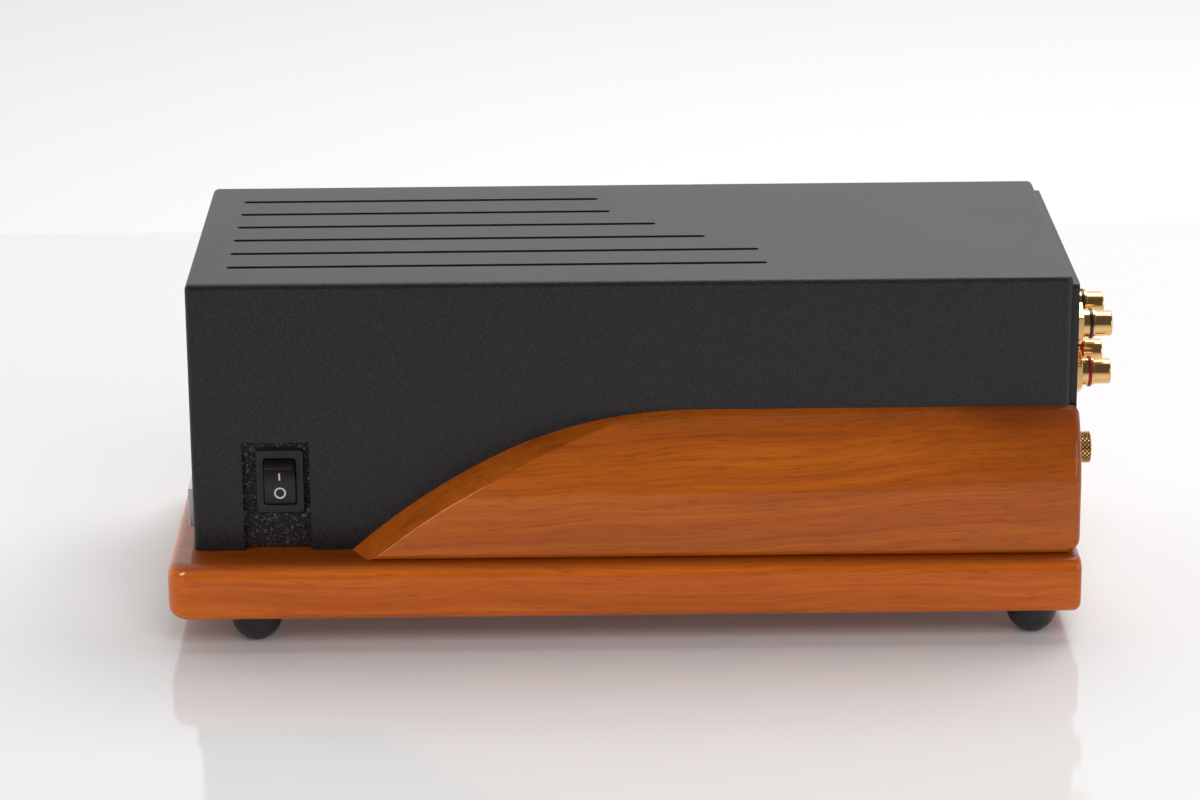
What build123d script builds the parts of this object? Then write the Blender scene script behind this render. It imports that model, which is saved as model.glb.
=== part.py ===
from build123d import *
import os
from math import acos, cos, radians, sin, sqrt

# Valve phono preamplifier on a wooden plinth, with wooden side cheeks.
# Millimetres. +Z is up, -Y is the front with the bare plate, +Y the rear with the sockets.
# The origin is the centre of the whole part's box at the height of the feet's soles.

# ---- wooden plinth and cheeks ----
plinth_side = 4.0         # plinth beyond the cheeks' outer faces
base_front = 8.0          # plinth ahead of the cover's front face
base_rear = 3.4           # plinth behind the cover's rear edge
base_thick = 19.0
base_edge_round = 4.5     # round along the board's upper and lower edges
base_corner_round = 7.5   # round at the board's two front corners
base_rear_round = 2.5     # round on the edges of the board's rear face
cheek_thick = 12.5
cheek_height = 46.7
cheek_tip_back = 51.5     # cheek's front tip behind the cover's front face
cheek_rear = 3.0          # cheek behind the cover's rear edge
cheek_upper_arc = 143.0   # radius of the front curve's upper stretch
cheek_lower_arc = 220.0   # radius of its lower stretch
cheek_arc_turn = 27.5     # slope in degrees where the two arcs meet
cheek_bevel = 18.7        # lean in degrees of the curved front cut
cheek_top_land = 0.2      # thickness left at the cheek's top edge
cheek_roll_depth = 25.0   # height over which the outer face rolls in to the top
cheek_edge_round = 3.0    # round on the rear and lower outer edges
cheek_end_round = 5.0     # round at the lower rear corner, seen from the side
cheek_bevel_round = 0.8   # eased edge between the front cut and the outer face

# ---- rubber feet ----
foot_radius = 8.25
foot_height = 9.2
foot_flat = 2.5           # radius of the sole's flat
foot_side_inset = 12.3    # foot's centre from the board's side
foot_front_inset = 28.0
foot_rear_inset = 14.8

# ---- folded sheet cover ----
cover_length = 284.0
cover_width = 121.0
cover_height = 90.0
sheet = 1.6
bend_round = 2.0          # outer radius of every fold
flange_width = 8.0        # rear return flange, measured inside the sheet
slot_lengths = (121.0, 125.0, 140.0, 156.0, 173.0, 175.0)   # left to right
slot_pitch = 16.2
slot_width = 2.5
slot_front = 12.0         # slots' front ends behind the cover's front face
notch_room_front = 4.5    # notch ahead of the switch's bezel
notch_room_rear = 2.05
notch_room_top = 2.6

# ---- inner tray and rear panel ----
tray_gap = 0.3            # sliding gap between tray and cover
tray_wall = 44.0
tray_front_wall = 30.0
tray_flange = 12.0        # height of the tray's rear upstand
panel_sheet = 2.2
panel_side = 1.8          # panel's edge inside the cover's side
panel_drop = 3.0          # panel's top edge below the cover's top
panel_lift = 0.5          # gap under the panel
panel_round = 1.5
panel_screw_low = 8.0     # lower side screws above the tray's upstand
panel_screw_high = 12.0   # upper side screws below the panel's top edge

# ---- bare front plate ----
badge_side = 10.5         # plate's ends inside the cover's sides
badge_height = 13.1
badge_thick = 2.0
badge_ease = 0.3
badge_lift = 4.7          # plate's lower edge above the plinth
tape_thick = 0.4
tape_margin = 1.5         # tape's edge inside the plate's edge

# ---- mains switch ----
switch_back = 28.55       # switch centre behind the cover's front face
switch_up = 23.6          # switch centre above the plinth
bezel_width = 15.3
bezel_tall = 21.4
bezel_thick = 2.0
bezel_round = 1.2
well_width = 10.7         # opening that the rocker tips in
well_tall = 16.0
well_round = 1.1          # round at the opening's corners
switch_body_width = 12.9
switch_body_tall = 18.9
switch_depth = 16.0       # body behind the tray wall
well_depth = 11.0         # well behind the bezel's face
rocker_radius = 7.5       # rocker's end radius about its pivot
rocker_side_gap = 0.35
rocker_end_round = 1.0    # round at the corners of the rocker's two ends
rocker_half_angle = 60.0  # from the rocker's middle line to each tip, in degrees
rocker_rest_tip = 12.5    # tilt of the rocker at rest, in degrees
rocker_valley = 2.4       # lowest point of the hollow face in front of the pivot
pivot_radius = 1.0
pivot_out = 0.8           # pivot in front of the tray wall's outer face
pivot_pin = 1.0           # pin's reach into the well's side wall
blade_width = 4.8
blade_thick = 0.8
blade_length = 8.0
blade_pitch = 7.0

# ---- phono sockets ----
jack_side = 17.5          # outer column from the cover's side
jack_pitch_x = 22.0
jack_drop = 20.9          # upper row below the cover's top
jack_pitch_z = 16.3
jack_reach = 12.5         # socket's end behind the panel
jack_barrel = 4.15        # radius that a plug slides over
jack_barrel_length = 5.5
jack_collar = 4.7
jack_collar_length = 0.8
jack_ring_radius = 5.05
jack_ring_width = 1.0
jack_shoulder = 4.6
jack_flats = 12.3         # hexagon's width across flats
jack_hex_thick = 2.4
jack_shank = 4.0
jack_shank_length = 8.0   # shank inside the panel
jack_bore = 3.35
jack_bore_depth = 9.0
jack_end_ease = 0.5
washer_radius = 6.6
washer_thick = 0.6
bushing_radius = 5.2
contact_radius = 2.1
contact_bore = 1.6
contact_recess = 1.0      # contact's mouth behind the barrel's end
contact_tail = 0.7
contact_tail_length = 4.6
jack_nut_flats = 11.0
jack_nut_thick = 2.5
lug_thick = 0.5
lug_radius = 5.6
lug_clear = 2.4           # lug's tail short of the next socket's tag
lug_tail = 3.0

# ---- earth terminal ----
earth_side = 20.5         # terminal from the cover's side
earth_up = 25.7
stud_radius = 2.0
stud_inside = 12.0
earth_flats = 8.5
earth_hex_thick = 1.6
earth_washer_radius = 4.6
earth_washer_thick = 0.8
thumb_radius = 5.2
thumb_length = 4.9
thumb_cap = 0.9           # closed end of the thumb nut
thumb_ease = 0.7
stud_play = 0.4           # stud's end short of the nut's blind end
earth_nut_flats = 7.0
earth_nut_thick = 2.6

# ---- mains inlet with fuse drawer ----
inlet_room = 4.9          # inlet's screw from the cover's rear flange
inlet_up = 34.0
inlet_flange_width = 50.0
inlet_flange_tall = 37.0
inlet_flange_thick = 2.6
inlet_flange_round = 5.0
inlet_body_width = 27.2
inlet_body_tall = 31.6
inlet_depth = 24.0
inlet_screw_pitch = 40.0
plug_well_width = 24.4
plug_well_tall = 16.4
plug_well_depth = 17.0
plug_well_corner = 4.5    # cut at the two upper corners of the plug's well
plug_well_drop = 6.2      # well's centre below the inlet's centre
pin_wide = 4.0
pin_thick = 2.0
pin_side = 7.0
pin_offset = 2.0
pin_recess = 4.6
drawer_wall = 1.45        # drawer's side wall beyond the fuse's room
drawer_tall = 8.0
drawer_length = 20.0
drawer_rise = 9.4         # drawer's centre above the inlet's centre
drawer_face_width = 25.6
drawer_face_tall = 9.6
drawer_face_thick = 1.6
drawer_gap = 0.2
drawer_behind = 0.5       # room behind the closed drawer
fuse_length = 20.0
fuse_radius = 2.6
fuse_cap_length = 5.0
fuse_glass_radius = 2.4
fuse_glass_wall = 0.6
drawer_back_wall = 2.0
fuse_room = 0.35

# ---- toroidal transformer ----
toroid_lane = 8.0         # transformer from the tray's left wall
toroid_front_gap = 19.0   # transformer behind the cover's front face
toroid_radius = 39.0
toroid_hole = 11.0
toroid_height = 34.0
toroid_round = 6.0
toroid_pad_thick = 2.0
toroid_pad_radius = 36.0
dish_radius = 30.0
dish_thick = 1.5
toroid_bolt = 3.0
toroid_bolt_head = 5.0
toroid_bolt_pan = 3.5
toroid_nut_flats = 10.0
toroid_nut_thick = 5.0
bolt_spare = 6.0          # bolt's end above its nut

# ---- circuit board ----
board_lane = 5.0          # board's edges from the tray's walls
board_rear = 37.0         # board's rear edge ahead of the cover's rear
board_gap = 4.0           # board behind the transformer
board_thick = 1.6
standoff_height = 9.0
standoff_flats = 6.0
spigot_radius = 2.2       # standoff's foot pressed into the tray
board_inset = 5.0         # standoffs' centres from the board's edges
valve_pitch_x = 44.0
valve_pitch_y = 42.0
valve_inset = 29.0        # front pair of valves behind the board's front edge
socket_radius = 10.8
socket_height = 9.0
socket_chimney = 3.2      # radius of the socket's middle hole
valve_radius = 10.4
valve_height = 46.0
valve_base_thick = 2.0
valve_glass = 0.9
valve_dome = 6.4          # height of the bulb's dome
valve_tip_radius = 2.2    # root of the sealed tip
valve_tip_end = 0.6
valve_tip_height = 3.0
valve_pins = 9
valve_pin_circle = 5.95
valve_pin_radius = 0.5
valve_pin_length = 7.0
electrode_lift = 4.0      # electrodes above the valve's base
electrode_side = 3.6      # each plate's centre from the valve's axis
electrode_width = 4.8
electrode_depth = 6.0
cathode_radius = 2.6
post_radius = 0.6
post_side = 6.0
post_spare = 3.0          # posts above the upper mica
electrode_length = 26.0
mica_radius = 8.6
mica_thick = 0.5
filter_radius = 9.0
filter_height = 36.0
filter_round = 1.2
filter_inset = 25.0       # filter capacitors from the board's rear edge
filter_margin = 3.5       # outer capacitors from the board's sides
filter_count = 4
film_length = 14.0
film_thick = 9.0
film_height = 17.0
film_round = 0.8
film_lift = 0.5
film_wire = 0.4
film_wire_pitch = 10.0
film_pitch = 18.0
film_first = 12.0         # inner film capacitors from the middle line
film_gap = 19.0           # film capacitors behind the rear pair of valves
resistor_radius = 1.6
resistor_length = 9.0
resistor_lift = 4.0       # resistor's axis above the board
resistor_wire = 0.35
resistor_bend = 1.5       # wire's bend beyond the resistor's end
resistor_pitch = 7.0
resistor_count = 6

# ---- screws ----
m3 = 1.5
m3_head = 2.8
m3_pan = 2.0
m3_length = 8.0
m3_flats = 5.5
board_screw_bite = 5.0    # board screw's reach into its standoff
screw_spare = 1.0         # chassis screw's end above its nut
m4 = 2.0
m4_head = 3.8
m4_pan = 2.6
m4_flats = 7.0
m4_nut_thick = 3.2
wood_screw = 2.0
wood_screw_head = 4.0
wood_screw_bite = 18.0    # screw's reach into the cheek
recess_depth = 5.0        # screw heads' depth in the plinth's underside
recess_spare = 0.7        # room round a screw head
hole_gap = 0.1            # radial room round a screw
base_screw_side = 38.0    # chassis screws from the middle line
base_screw_end = 20.0     # chassis screws from the cover's two ends
cheek_screw_first = 95.0  # first cheek screw behind the cover's front face
cheek_screw_pitch = 75.0
cheek_screw_count = 3
seat = 0.05               # room between curved faces that are assembled for good

# ---- wiring ----
wire_radius = 1.1
wire_bend = 3.5
wire_room = 6.0           # wires' distance from what they pass
cross_room = 8.0          # live wire ahead of the transformer
wire_gap = 0.4            # wires' ends short of the transformer's round side
low_lane = 8.0            # neutral wire above the plinth
switch_gap = 1.6          # switched wire's end short of the transformer's round side
wire_lead = 6.0           # straight run at the live pin
neutral_lead = 4.0
earth_lead = 7.5
signal_bend = 9.0
signal_inset = 4.5        # signal wires from the board's rear edge

# ---- places that follow from the sizes ----
base_top = foot_height + base_thick
y_front = (base_front - cover_length - panel_sheet - jack_reach) / 2
y_rear = y_front + cover_length
y_panel = y_rear + panel_sheet
cover_half = cover_width / 2
window_half = cover_half - sheet - flange_width   # half the opening between the rear flanges
tray_half = cover_half - sheet - tray_gap
tray_floor = base_top + sheet
board_under = tray_floor + standoff_height
board_top = board_under + board_thick
base_half = cover_half + cheek_thick + plinth_side
switch_y = y_front + switch_back
switch_z = base_top + switch_up
earth_x = cover_half - earth_side
earth_z = base_top + earth_up
lug_reach = jack_pitch_x - lug_radius - lug_clear
inlet_x = -window_half + inlet_room + inlet_screw_pitch / 2
toroid_x = toroid_lane + toroid_radius - (tray_half - sheet)
toroid_y = y_front + toroid_front_gap + toroid_radius
base_y0 = y_front - base_front
base_y1 = y_rear + base_rear
jack_columns = (cover_half - jack_side - jack_pitch_x, cover_half - jack_side)
jack_upper = base_top + cover_height - jack_drop
jack_rows = (jack_upper - jack_pitch_z, jack_upper)
along_y = Rot(-90, 0, 0)
along_x = Rot(0, 90, 0)


def write(name, shape):
    """Save one node; a list becomes a group of separate solids."""
    if isinstance(shape, (list, tuple)):
        shape = Compound(children=list(shape))
    export_step(shape, f"parts/{name}.step")


def block(x0, x1, y0, y1, z0, z1):
    """A box between two opposite corners."""
    centre = Pos((x0 + x1) / 2, (y0 + y1) / 2, (z0 + z1) / 2)
    return centre * Box(x1 - x0, y1 - y0, z1 - z0)


def rod_x(x0, x1, y, z, radius):
    return Pos((x0 + x1) / 2, y, z) * along_x * Cylinder(radius, x1 - x0)


def rod_y(x, y0, y1, z, radius):
    return Pos(x, (y0 + y1) / 2, z) * along_y * Cylinder(radius, y1 - y0)


def rod_z(x, y, z0, z1, radius):
    return Pos(x, y, (z0 + z1) / 2) * Cylinder(radius, z1 - z0)


def hexagon(flats):
    return RegularPolygon(flats / 2, 6, major_radius=False)


def hex_y(x, y0, y1, z, flats):
    """A hexagon along Y that stands on a corner."""
    return Pos(x, y0, z) * along_y * Rot(0, 0, 30) * extrude(hexagon(flats), y1 - y0)


def hex_z(x, y, z0, z1, flats):
    return Pos(x, y, z0) * extrude(hexagon(flats), z1 - z0)


def rounded_plate_y(x, z, width, tall, y0, y1, corner):
    """An upright plate with round corners, facing +Y."""
    face = RectangleRounded(width, tall, corner)
    return Pos(x, y0, z) * along_y * extrude(face, y1 - y0)


def turned(outline):
    """Turn a closed outline, drawn as radius and height, about the Z axis."""
    return revolve(Plane.XZ * make_face(outline), Axis.Z)


# ---- plinth, feet, cheeks ----
base_screw_spots = [(side * base_screw_side, y)
                    for side in (-1, 1)
                    for y in (y_front + base_screw_end, y_rear - base_screw_end)]
cheek_mid = cover_half + cheek_thick / 2
cheek_screw_spots = [(side * cheek_mid, y_front + cheek_screw_first + i * cheek_screw_pitch)
                     for side in (-1, 1) for i in range(cheek_screw_count)]


def plinth():
    board = block(-base_half, base_half, base_y0, base_y1, foot_height, base_top)
    board = fillet(board.edges().filter_by(Axis.Z).group_by(Axis.Y)[0], base_corner_round)
    rims = board.edges().group_by(Axis.Z)
    ahead = (rims[0] + rims[-1]).filter_by(lambda edge: edge.center().Y < base_y1 - base_rear_round)
    board = fillet(ahead, base_edge_round)
    board = fillet(board.faces().sort_by(Axis.Y)[-1].edges(), base_rear_round)
    for (x, y), shank, head in ([(spot, m4, m4_head) for spot in base_screw_spots]
                                + [(spot, wood_screw, wood_screw_head) for spot in cheek_screw_spots]):
        board -= rod_z(x, y, foot_height, base_top, shank + hole_gap)
        board -= rod_z(x, y, foot_height, foot_height + recess_depth, head + recess_spare)
    pocket = toroid_bolt_pan + recess_spare
    board -= rod_z(toroid_x, toroid_y, base_top - pocket, base_top, toroid_bolt_head + recess_spare)
    return board


def foot(side, y):
    dome = sqrt(foot_radius**2 - foot_flat**2)
    middle = radians(-45)
    outline = [Line((0, 0), (foot_flat, 0)),
               ThreePointArc((foot_flat, 0),
                             (foot_radius * cos(middle), dome + foot_radius * sin(middle)),
                             (foot_radius, dome)),
               Polyline((foot_radius, dome), (foot_radius, foot_height), (0, foot_height), (0, 0))]
    return Pos(side * (base_half - foot_side_inset), y, 0) * turned(outline)


def cheek_front_curve():
    """Tip, joint of the two arcs and top point of the curve, as (y, z), with each arc's middle."""
    turn = radians(cheek_arc_turn)
    joint_z = base_top + cheek_height - cheek_upper_arc * (1 - cos(turn))
    tip_turn = acos(cos(turn) - (joint_z - base_top) / cheek_lower_arc)
    tip_y = y_front + cheek_tip_back
    joint_y = tip_y + cheek_lower_arc * (sin(tip_turn) - sin(turn))
    top_y = joint_y + cheek_upper_arc * sin(turn)
    low_mid = (turn + tip_turn) / 2
    up_mid = turn / 2
    low_point = (joint_y - cheek_lower_arc * (sin(low_mid) - sin(turn)),
                 joint_z - cheek_lower_arc * (cos(turn) - cos(low_mid)))
    up_point = (top_y - cheek_upper_arc * sin(up_mid),
                base_top + cheek_height - cheek_upper_arc * (1 - cos(up_mid)))
    return (tip_y, base_top), low_point, (joint_y, joint_z), up_point, (top_y, base_top + cheek_height)


def cheek():
    """The right cheek; the left one is its mirror image."""
    x_in = cover_half
    x_out = cover_half + cheek_thick
    y_end = y_rear + cheek_rear
    top = base_top + cheek_height
    tip, low_point, joint, up_point, crest = cheek_front_curve()
    low_arc = ThreePointArc(tip, low_point, joint)
    up_arc = ThreePointArc(joint, up_point, crest)

    board = block(x_in, x_out, tip[0], y_end, base_top, top)
    rear_low = board.edges().group_by(Axis.Z)[0].filter_by(Axis.X).sort_by(Axis.Y)[-1]
    board = fillet(rear_low, cheek_end_round)
    outline = board.faces().sort_by(Axis.X)[-1].edges()
    below = outline.filter_by(lambda edge: edge.center().Z < top - 0.01)
    board = fillet(below.filter_by(lambda edge: edge.center().Y > tip[0] + 0.01), cheek_edge_round)

    # the outer face rolls in to a thin top edge
    roll_start = (x_out, top - cheek_roll_depth)
    roll_end = (x_in + cheek_top_land, top)
    roll = TangentArc(roll_start, roll_end, tangent=(0, 1))
    spare = cheek_thick
    above = Polyline(roll_end, (x_in + cheek_top_land, top + spare), (x_out + spare, top + spare),
                     (x_out + spare, top - cheek_roll_depth), roll_start)
    y_spare = tip[0] - spare
    section = Plane((0, y_spare, 0), x_dir=(1, 0, 0), z_dir=(0, -1, 0)) * make_face([roll, above])
    board -= extrude(section, -(y_end + spare - y_spare))

    # the rear edge's round follows that roll up to the top
    run = cheek_thick - cheek_top_land
    roll_radius = (run**2 + cheek_roll_depth**2) / (2 * run)
    reach = cheek_edge_round
    middle = reach * (1 - sin(radians(45)))
    quarter = ThreePointArc((x_out, y_end - reach), (x_out - middle, y_end - middle), (x_out - reach, y_end))
    beyond = Polyline((x_out - reach, y_end), (x_out - reach, y_end + reach), (x_out + reach, y_end + reach),
                      (x_out + reach, y_end - reach), (x_out, y_end - reach))
    corner = Pos(0, 0, top - cheek_roll_depth) * make_face([quarter, beyond])
    board -= revolve(corner, Axis((x_out - roll_radius, y_end, top - cheek_roll_depth), (0, -1, 0)), 60)

    # the front is cut along the curve, leaning back towards the outer face, and eased where they meet
    start_slope = low_arc % 0
    ahead = (tip[0] - spare * start_slope.X, tip[1] - spare * start_slope.Y)
    waste = make_face([Line(ahead, tip), low_arc, up_arc,
                       Polyline(crest, (y_end + spare, top), (y_end + spare, top + 2 * spare),
                                (ahead[0], top + 2 * spare), ahead)])
    lying = Plane((x_in, 0, 0), x_dir=(0, 1, 0), z_dir=(1, 0, 0))
    cutter = extrude(lying * waste, cheek_thick, taper=-cheek_bevel)
    cutter += block(x_out, x_out + spare, y_spare, y_end + spare, base_top - spare, top + 3 * spare)
    arcs = cutter.edges().filter_by(GeomType.CIRCLE)
    cutter = fillet(arcs.filter_by(lambda edge: abs(edge.center().X - x_out) < 0.01), cheek_bevel_round)
    return board - cutter


def with_screw_holes(board, side):
    for x, y in cheek_screw_spots:
        if x * side > 0:
            board -= rod_z(x, y, base_top, base_top + wood_screw_bite, wood_screw)
    return board


def screw_up(x, y, z_head, length, shank, head, thick):
    """A screw that points up, with its head's underside at z_head."""
    return rod_z(x, y, z_head - thick, z_head, head) + rod_z(x, y, z_head, z_head + length, shank)


def chassis_screws():
    z = foot_height + recess_depth
    length = tray_floor + m4_nut_thick + screw_spare - z
    return [screw_up(x, y, z, length, m4 - seat, m4_head, m4_pan) for x, y in base_screw_spots]


def chassis_nuts():
    return [hex_z(x, y, tray_floor, tray_floor + m4_nut_thick, m4_flats)
            - rod_z(x, y, tray_floor, tray_floor + m4_nut_thick, m4) for x, y in base_screw_spots]


def cheek_screws():
    z = foot_height + recess_depth
    length = base_top + wood_screw_bite - z
    shank = wood_screw - seat
    return [screw_up(x, y, z, length, shank, wood_screw_head, m4_pan) for x, y in cheek_screw_spots]


# ---- cover, tray, rear panel ----
flange_mid = cover_half - sheet - flange_width / 2
flange_screw_rows = (base_top + tray_flange + panel_screw_low,
                     base_top + cover_height - panel_drop - panel_screw_high)
panel_screw_spots = ([(side * flange_mid, z) for side in (-1, 1) for z in flange_screw_rows]
                     + [(side * base_screw_side / 2, base_top + tray_flange / 2) for side in (-1, 1)])


def folded_box(half, y0, y1, z0, z1, corner):
    body = block(-half, half, y0, y1, z0, z1)
    return fillet(body.edges() - body.edges().group_by(Axis.Z)[0], corner)


def cover():
    top = base_top + cover_height
    shell = folded_box(cover_half, y_front, y_rear, base_top, top, bend_round)
    inner = folded_box(cover_half - sheet, y_front + sheet, y_rear - sheet, base_top - sheet, top - sheet,
                       bend_round - sheet)
    shell -= inner
    window = window_half
    shell -= block(-window, window, y_rear - 2 * sheet, y_rear + sheet, base_top, top - sheet - flange_width)
    first = -slot_pitch * (len(slot_lengths) - 1) / 2
    for i, length in enumerate(slot_lengths):
        slot = Rot(0, 0, 90) * extrude(SlotOverall(length, slot_width), 3 * sheet)
        shell -= Pos(first + i * slot_pitch, y_front + slot_front + length / 2, top - 2 * sheet) * slot
    shell -= block(cover_half - 2 * sheet, cover_half + sheet, switch_y - bezel_width / 2 - notch_room_front,
                   switch_y + bezel_width / 2 + notch_room_rear, base_top - sheet,
                   switch_z + bezel_tall / 2 + notch_room_top)
    for x, z in panel_screw_spots:
        if abs(x) > window:
            shell -= rod_y(x, y_rear - 2 * sheet, y_rear + sheet, z, m3)
    return shell


def tray():
    y0 = y_front + sheet + tray_gap
    y1 = y_rear - sheet - tray_gap
    body = block(-tray_half, tray_half, y0, y1, base_top, base_top + tray_wall)
    floor_edges = body.edges().group_by(Axis.Z)[0]
    folds = floor_edges.filter_by(Axis.Y) + floor_edges.filter_by(Axis.X).sort_by(Axis.Y)[0]
    body = fillet(folds, bend_round)
    inner = tray_half - sheet
    wall_top = base_top + tray_wall
    body -= block(-inner, inner, y0 + sheet, y_rear, tray_floor, wall_top)
    body -= block(-tray_half, tray_half, y0 - sheet, y0 + sheet, base_top + tray_front_wall, wall_top)
    tongue = window_half - tray_gap
    body += block(-tongue, tongue, y1 - sheet, y_rear, base_top, tray_floor)
    body += block(-tongue, tongue, y_rear - sheet, y_rear, base_top, base_top + tray_flange)
    body -= block(tray_half - 2 * sheet, tray_half + sheet,
                  y_front + switch_back - switch_body_width / 2 - hole_gap,
                  y_front + switch_back + switch_body_width / 2 + hole_gap,
                  base_top + switch_up - switch_body_tall / 2 - hole_gap,
                  base_top + switch_up + switch_body_tall / 2 + hole_gap)
    for x, y in base_screw_spots:
        body -= rod_z(x, y, base_top - sheet, tray_floor, m4 + hole_gap)
    for x, z in panel_screw_spots:
        if abs(x) < tongue:
            body -= rod_y(x, y_rear - 2 * sheet, y_rear + sheet, z, m3)
    for x, y in standoff_spots:
        body -= rod_z(x, y, base_top - sheet, tray_floor, spigot_radius + seat)
    body -= rod_z(toroid_x, toroid_y, base_top - sheet, tray_floor, toroid_bolt + hole_gap)
    return body


def rear_panel():
    z0 = base_top + panel_lift
    z1 = base_top + cover_height - panel_drop
    width = cover_width - 2 * panel_side
    plate = rounded_plate_y(0, (z0 + z1) / 2, width, z1 - z0, y_rear, y_panel, panel_round)
    for x in jack_columns:
        for z in jack_rows:
            plate -= rod_y(x, y_rear, y_panel, z, bushing_radius + hole_gap)
    plate -= rod_y(earth_x, y_rear, y_panel, base_top + earth_up, stud_radius + hole_gap)
    z_inlet = base_top + inlet_up
    plate -= block(inlet_x - inlet_body_width / 2 - hole_gap, inlet_x + inlet_body_width / 2 + hole_gap,
                   y_rear, y_panel,
                   z_inlet - inlet_body_tall / 2 - hole_gap, z_inlet + inlet_body_tall / 2 + hole_gap)
    for side in (-1, 1):
        plate -= rod_y(inlet_x + side * inlet_screw_pitch / 2, y_rear, y_panel, z_inlet, m3 + hole_gap)
    for x, z in panel_screw_spots:
        plate -= countersunk(x, z, m3 + hole_gap, m3_head + hole_gap)
    return plate


def countersunk(x, z, shank, head):
    """A flush screw's shape in the panel, with its head towards +Y."""
    cone = head - shank
    outline = [Polyline((0, 0), (head, 0), (shank, -cone), (shank, -m3_length), (0, -m3_length), (0, 0))]
    return Pos(x, y_panel, z) * along_y * turned(outline)


def badge_plate():
    z0 = base_top + badge_lift
    y1 = y_front - tape_thick
    half = cover_half - badge_side
    plate = block(-half, half, y1 - badge_thick, y1, z0, z0 + badge_height)
    front = plate.faces().sort_by(Axis.Y)[0]
    return chamfer(front.edges(), badge_ease)


def badge_tape():
    z0 = base_top + badge_lift + tape_margin
    half = cover_half - badge_side - tape_margin
    return block(-half, half, y_front - tape_thick, y_front, z0, z0 + badge_height - 2 * tape_margin)


# ---- mains switch ----
pivot_x = tray_half + pivot_out


def switch_housing():
    x_face = tray_half + bezel_thick
    bezel = extrude(RectangleRounded(bezel_tall, bezel_width, bezel_round), bezel_thick)
    housing = Pos(tray_half, switch_y, switch_z) * along_x * bezel
    outer = housing.faces().sort_by(Axis.X)[-1]
    housing = fillet(outer.edges(), 0.5)
    housing += block(tray_half - switch_depth, tray_half, switch_y - switch_body_width / 2,
                     switch_y + switch_body_width / 2, switch_z - switch_body_tall / 2,
                     switch_z + switch_body_tall / 2)
    well = block(x_face - well_depth, x_face + 1, switch_y - well_width / 2, switch_y + well_width / 2,
                 switch_z - well_tall / 2, switch_z + well_tall / 2)
    housing -= fillet(well.edges().filter_by(Axis.X), well_round)
    reach = well_width / 2 + pivot_pin + hole_gap
    housing -= rod_y(pivot_x, switch_y - reach, switch_y + reach, switch_z, pivot_radius + seat)
    return housing


def switch_rocker():
    """Rocker with a hollow face, drawn level and then tipped to its OFF rest."""
    half = radians(rocker_half_angle)
    tip_x = rocker_radius * cos(half)
    tip_z = rocker_radius * sin(half)
    face = ThreePointArc((tip_x, -tip_z), (rocker_valley, 0), (tip_x, tip_z))
    back = ThreePointArc((tip_x, tip_z), (-rocker_radius, 0), (tip_x, -tip_z))
    side = Plane((0, 0, 0), x_dir=(1, 0, 0), z_dir=(0, -1, 0)) * make_face([face, back])
    half_width = well_width / 2 - rocker_side_gap
    body = extrude(side, half_width, both=True)
    ends = body.edges().filter_by(GeomType.CIRCLE).filter_by(lambda edge: edge.center().X < 0)
    body = fillet(ends, rocker_end_round)
    pin = half_width + rocker_side_gap + pivot_pin
    body += rod_y(0, -pin, pin, 0, pivot_radius)
    return Pos(pivot_x, switch_y, switch_z) * Rot(0, rocker_rest_tip, 0) * body


def switch_terminals():
    back = tray_half - switch_depth
    return [block(back - blade_length, back, switch_y - blade_width / 2, switch_y + blade_width / 2,
                  switch_z + k * blade_pitch - blade_thick / 2, switch_z + k * blade_pitch + blade_thick / 2)
            for k in (-0.5, 0.5)]


# ---- phono sockets ----
jack_spots = {"input_left": (jack_columns[1], jack_rows[1]),
              "input_right": (jack_columns[1], jack_rows[0]),
              "output_left": (jack_columns[0], jack_rows[1]),
              "output_right": (jack_columns[0], jack_rows[0])}
jack_end = y_panel + jack_reach
collar_back = jack_end - jack_barrel_length - jack_collar_length
ring_back = collar_back - jack_ring_width
hex_face = y_panel + washer_thick + jack_hex_thick
well_floor = jack_end - jack_bore_depth
jack_tail = y_rear - jack_shank_length


def jack_body(x, z):
    """Gold-plated shell: barrel, collar, shoulder, hexagon and threaded shank in one turning."""
    barrel = rod_y(x, ring_back, jack_end, z, jack_barrel)
    barrel = chamfer(barrel.edges().sort_by(Axis.Y)[-1], jack_end_ease)
    body = barrel + rod_y(x, collar_back, collar_back + jack_collar_length, z, jack_collar)
    body += rod_y(x, hex_face, ring_back, z, jack_shoulder)
    body += hex_y(x, y_panel + washer_thick, hex_face, z, jack_flats)
    body += rod_y(x, jack_tail, y_panel + washer_thick, z, jack_shank)
    body -= rod_y(x, well_floor, jack_end, z, jack_bore)
    body -= rod_y(x, jack_tail, well_floor, z, contact_radius + 2 * seat)
    return body


def jack_ring(x, z):
    ring = rod_y(x, ring_back, collar_back, z, jack_ring_radius)
    return ring - rod_y(x, ring_back, collar_back, z, jack_barrel + seat)


def jack_bushings():
    """Black insulating washers, the outer one with a collar through the panel."""
    washers = []
    for x, z in jack_spots.values():
        outer = rod_y(x, y_panel, y_panel + washer_thick, z, washer_radius)
        outer += rod_y(x, y_rear, y_panel, z, bushing_radius)
        inner = rod_y(x, y_rear - washer_thick, y_rear, z, washer_radius)
        bore = rod_y(x, y_rear - washer_thick, y_panel + washer_thick, z, jack_shank + seat)
        washers += [outer - bore, inner - bore]
    return washers


def solder_tag(x, z, y1, ring, hole):
    """A flat ring with a tail towards the middle of the panel."""
    tag = rod_y(x, y1 - lug_thick, y1, z, ring)
    tag += block(x - lug_reach, x, y1 - lug_thick, y1, z - lug_tail / 2, z + lug_tail / 2)
    return tag - rod_y(x, y1 - lug_thick, y1, z, hole)


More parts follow.
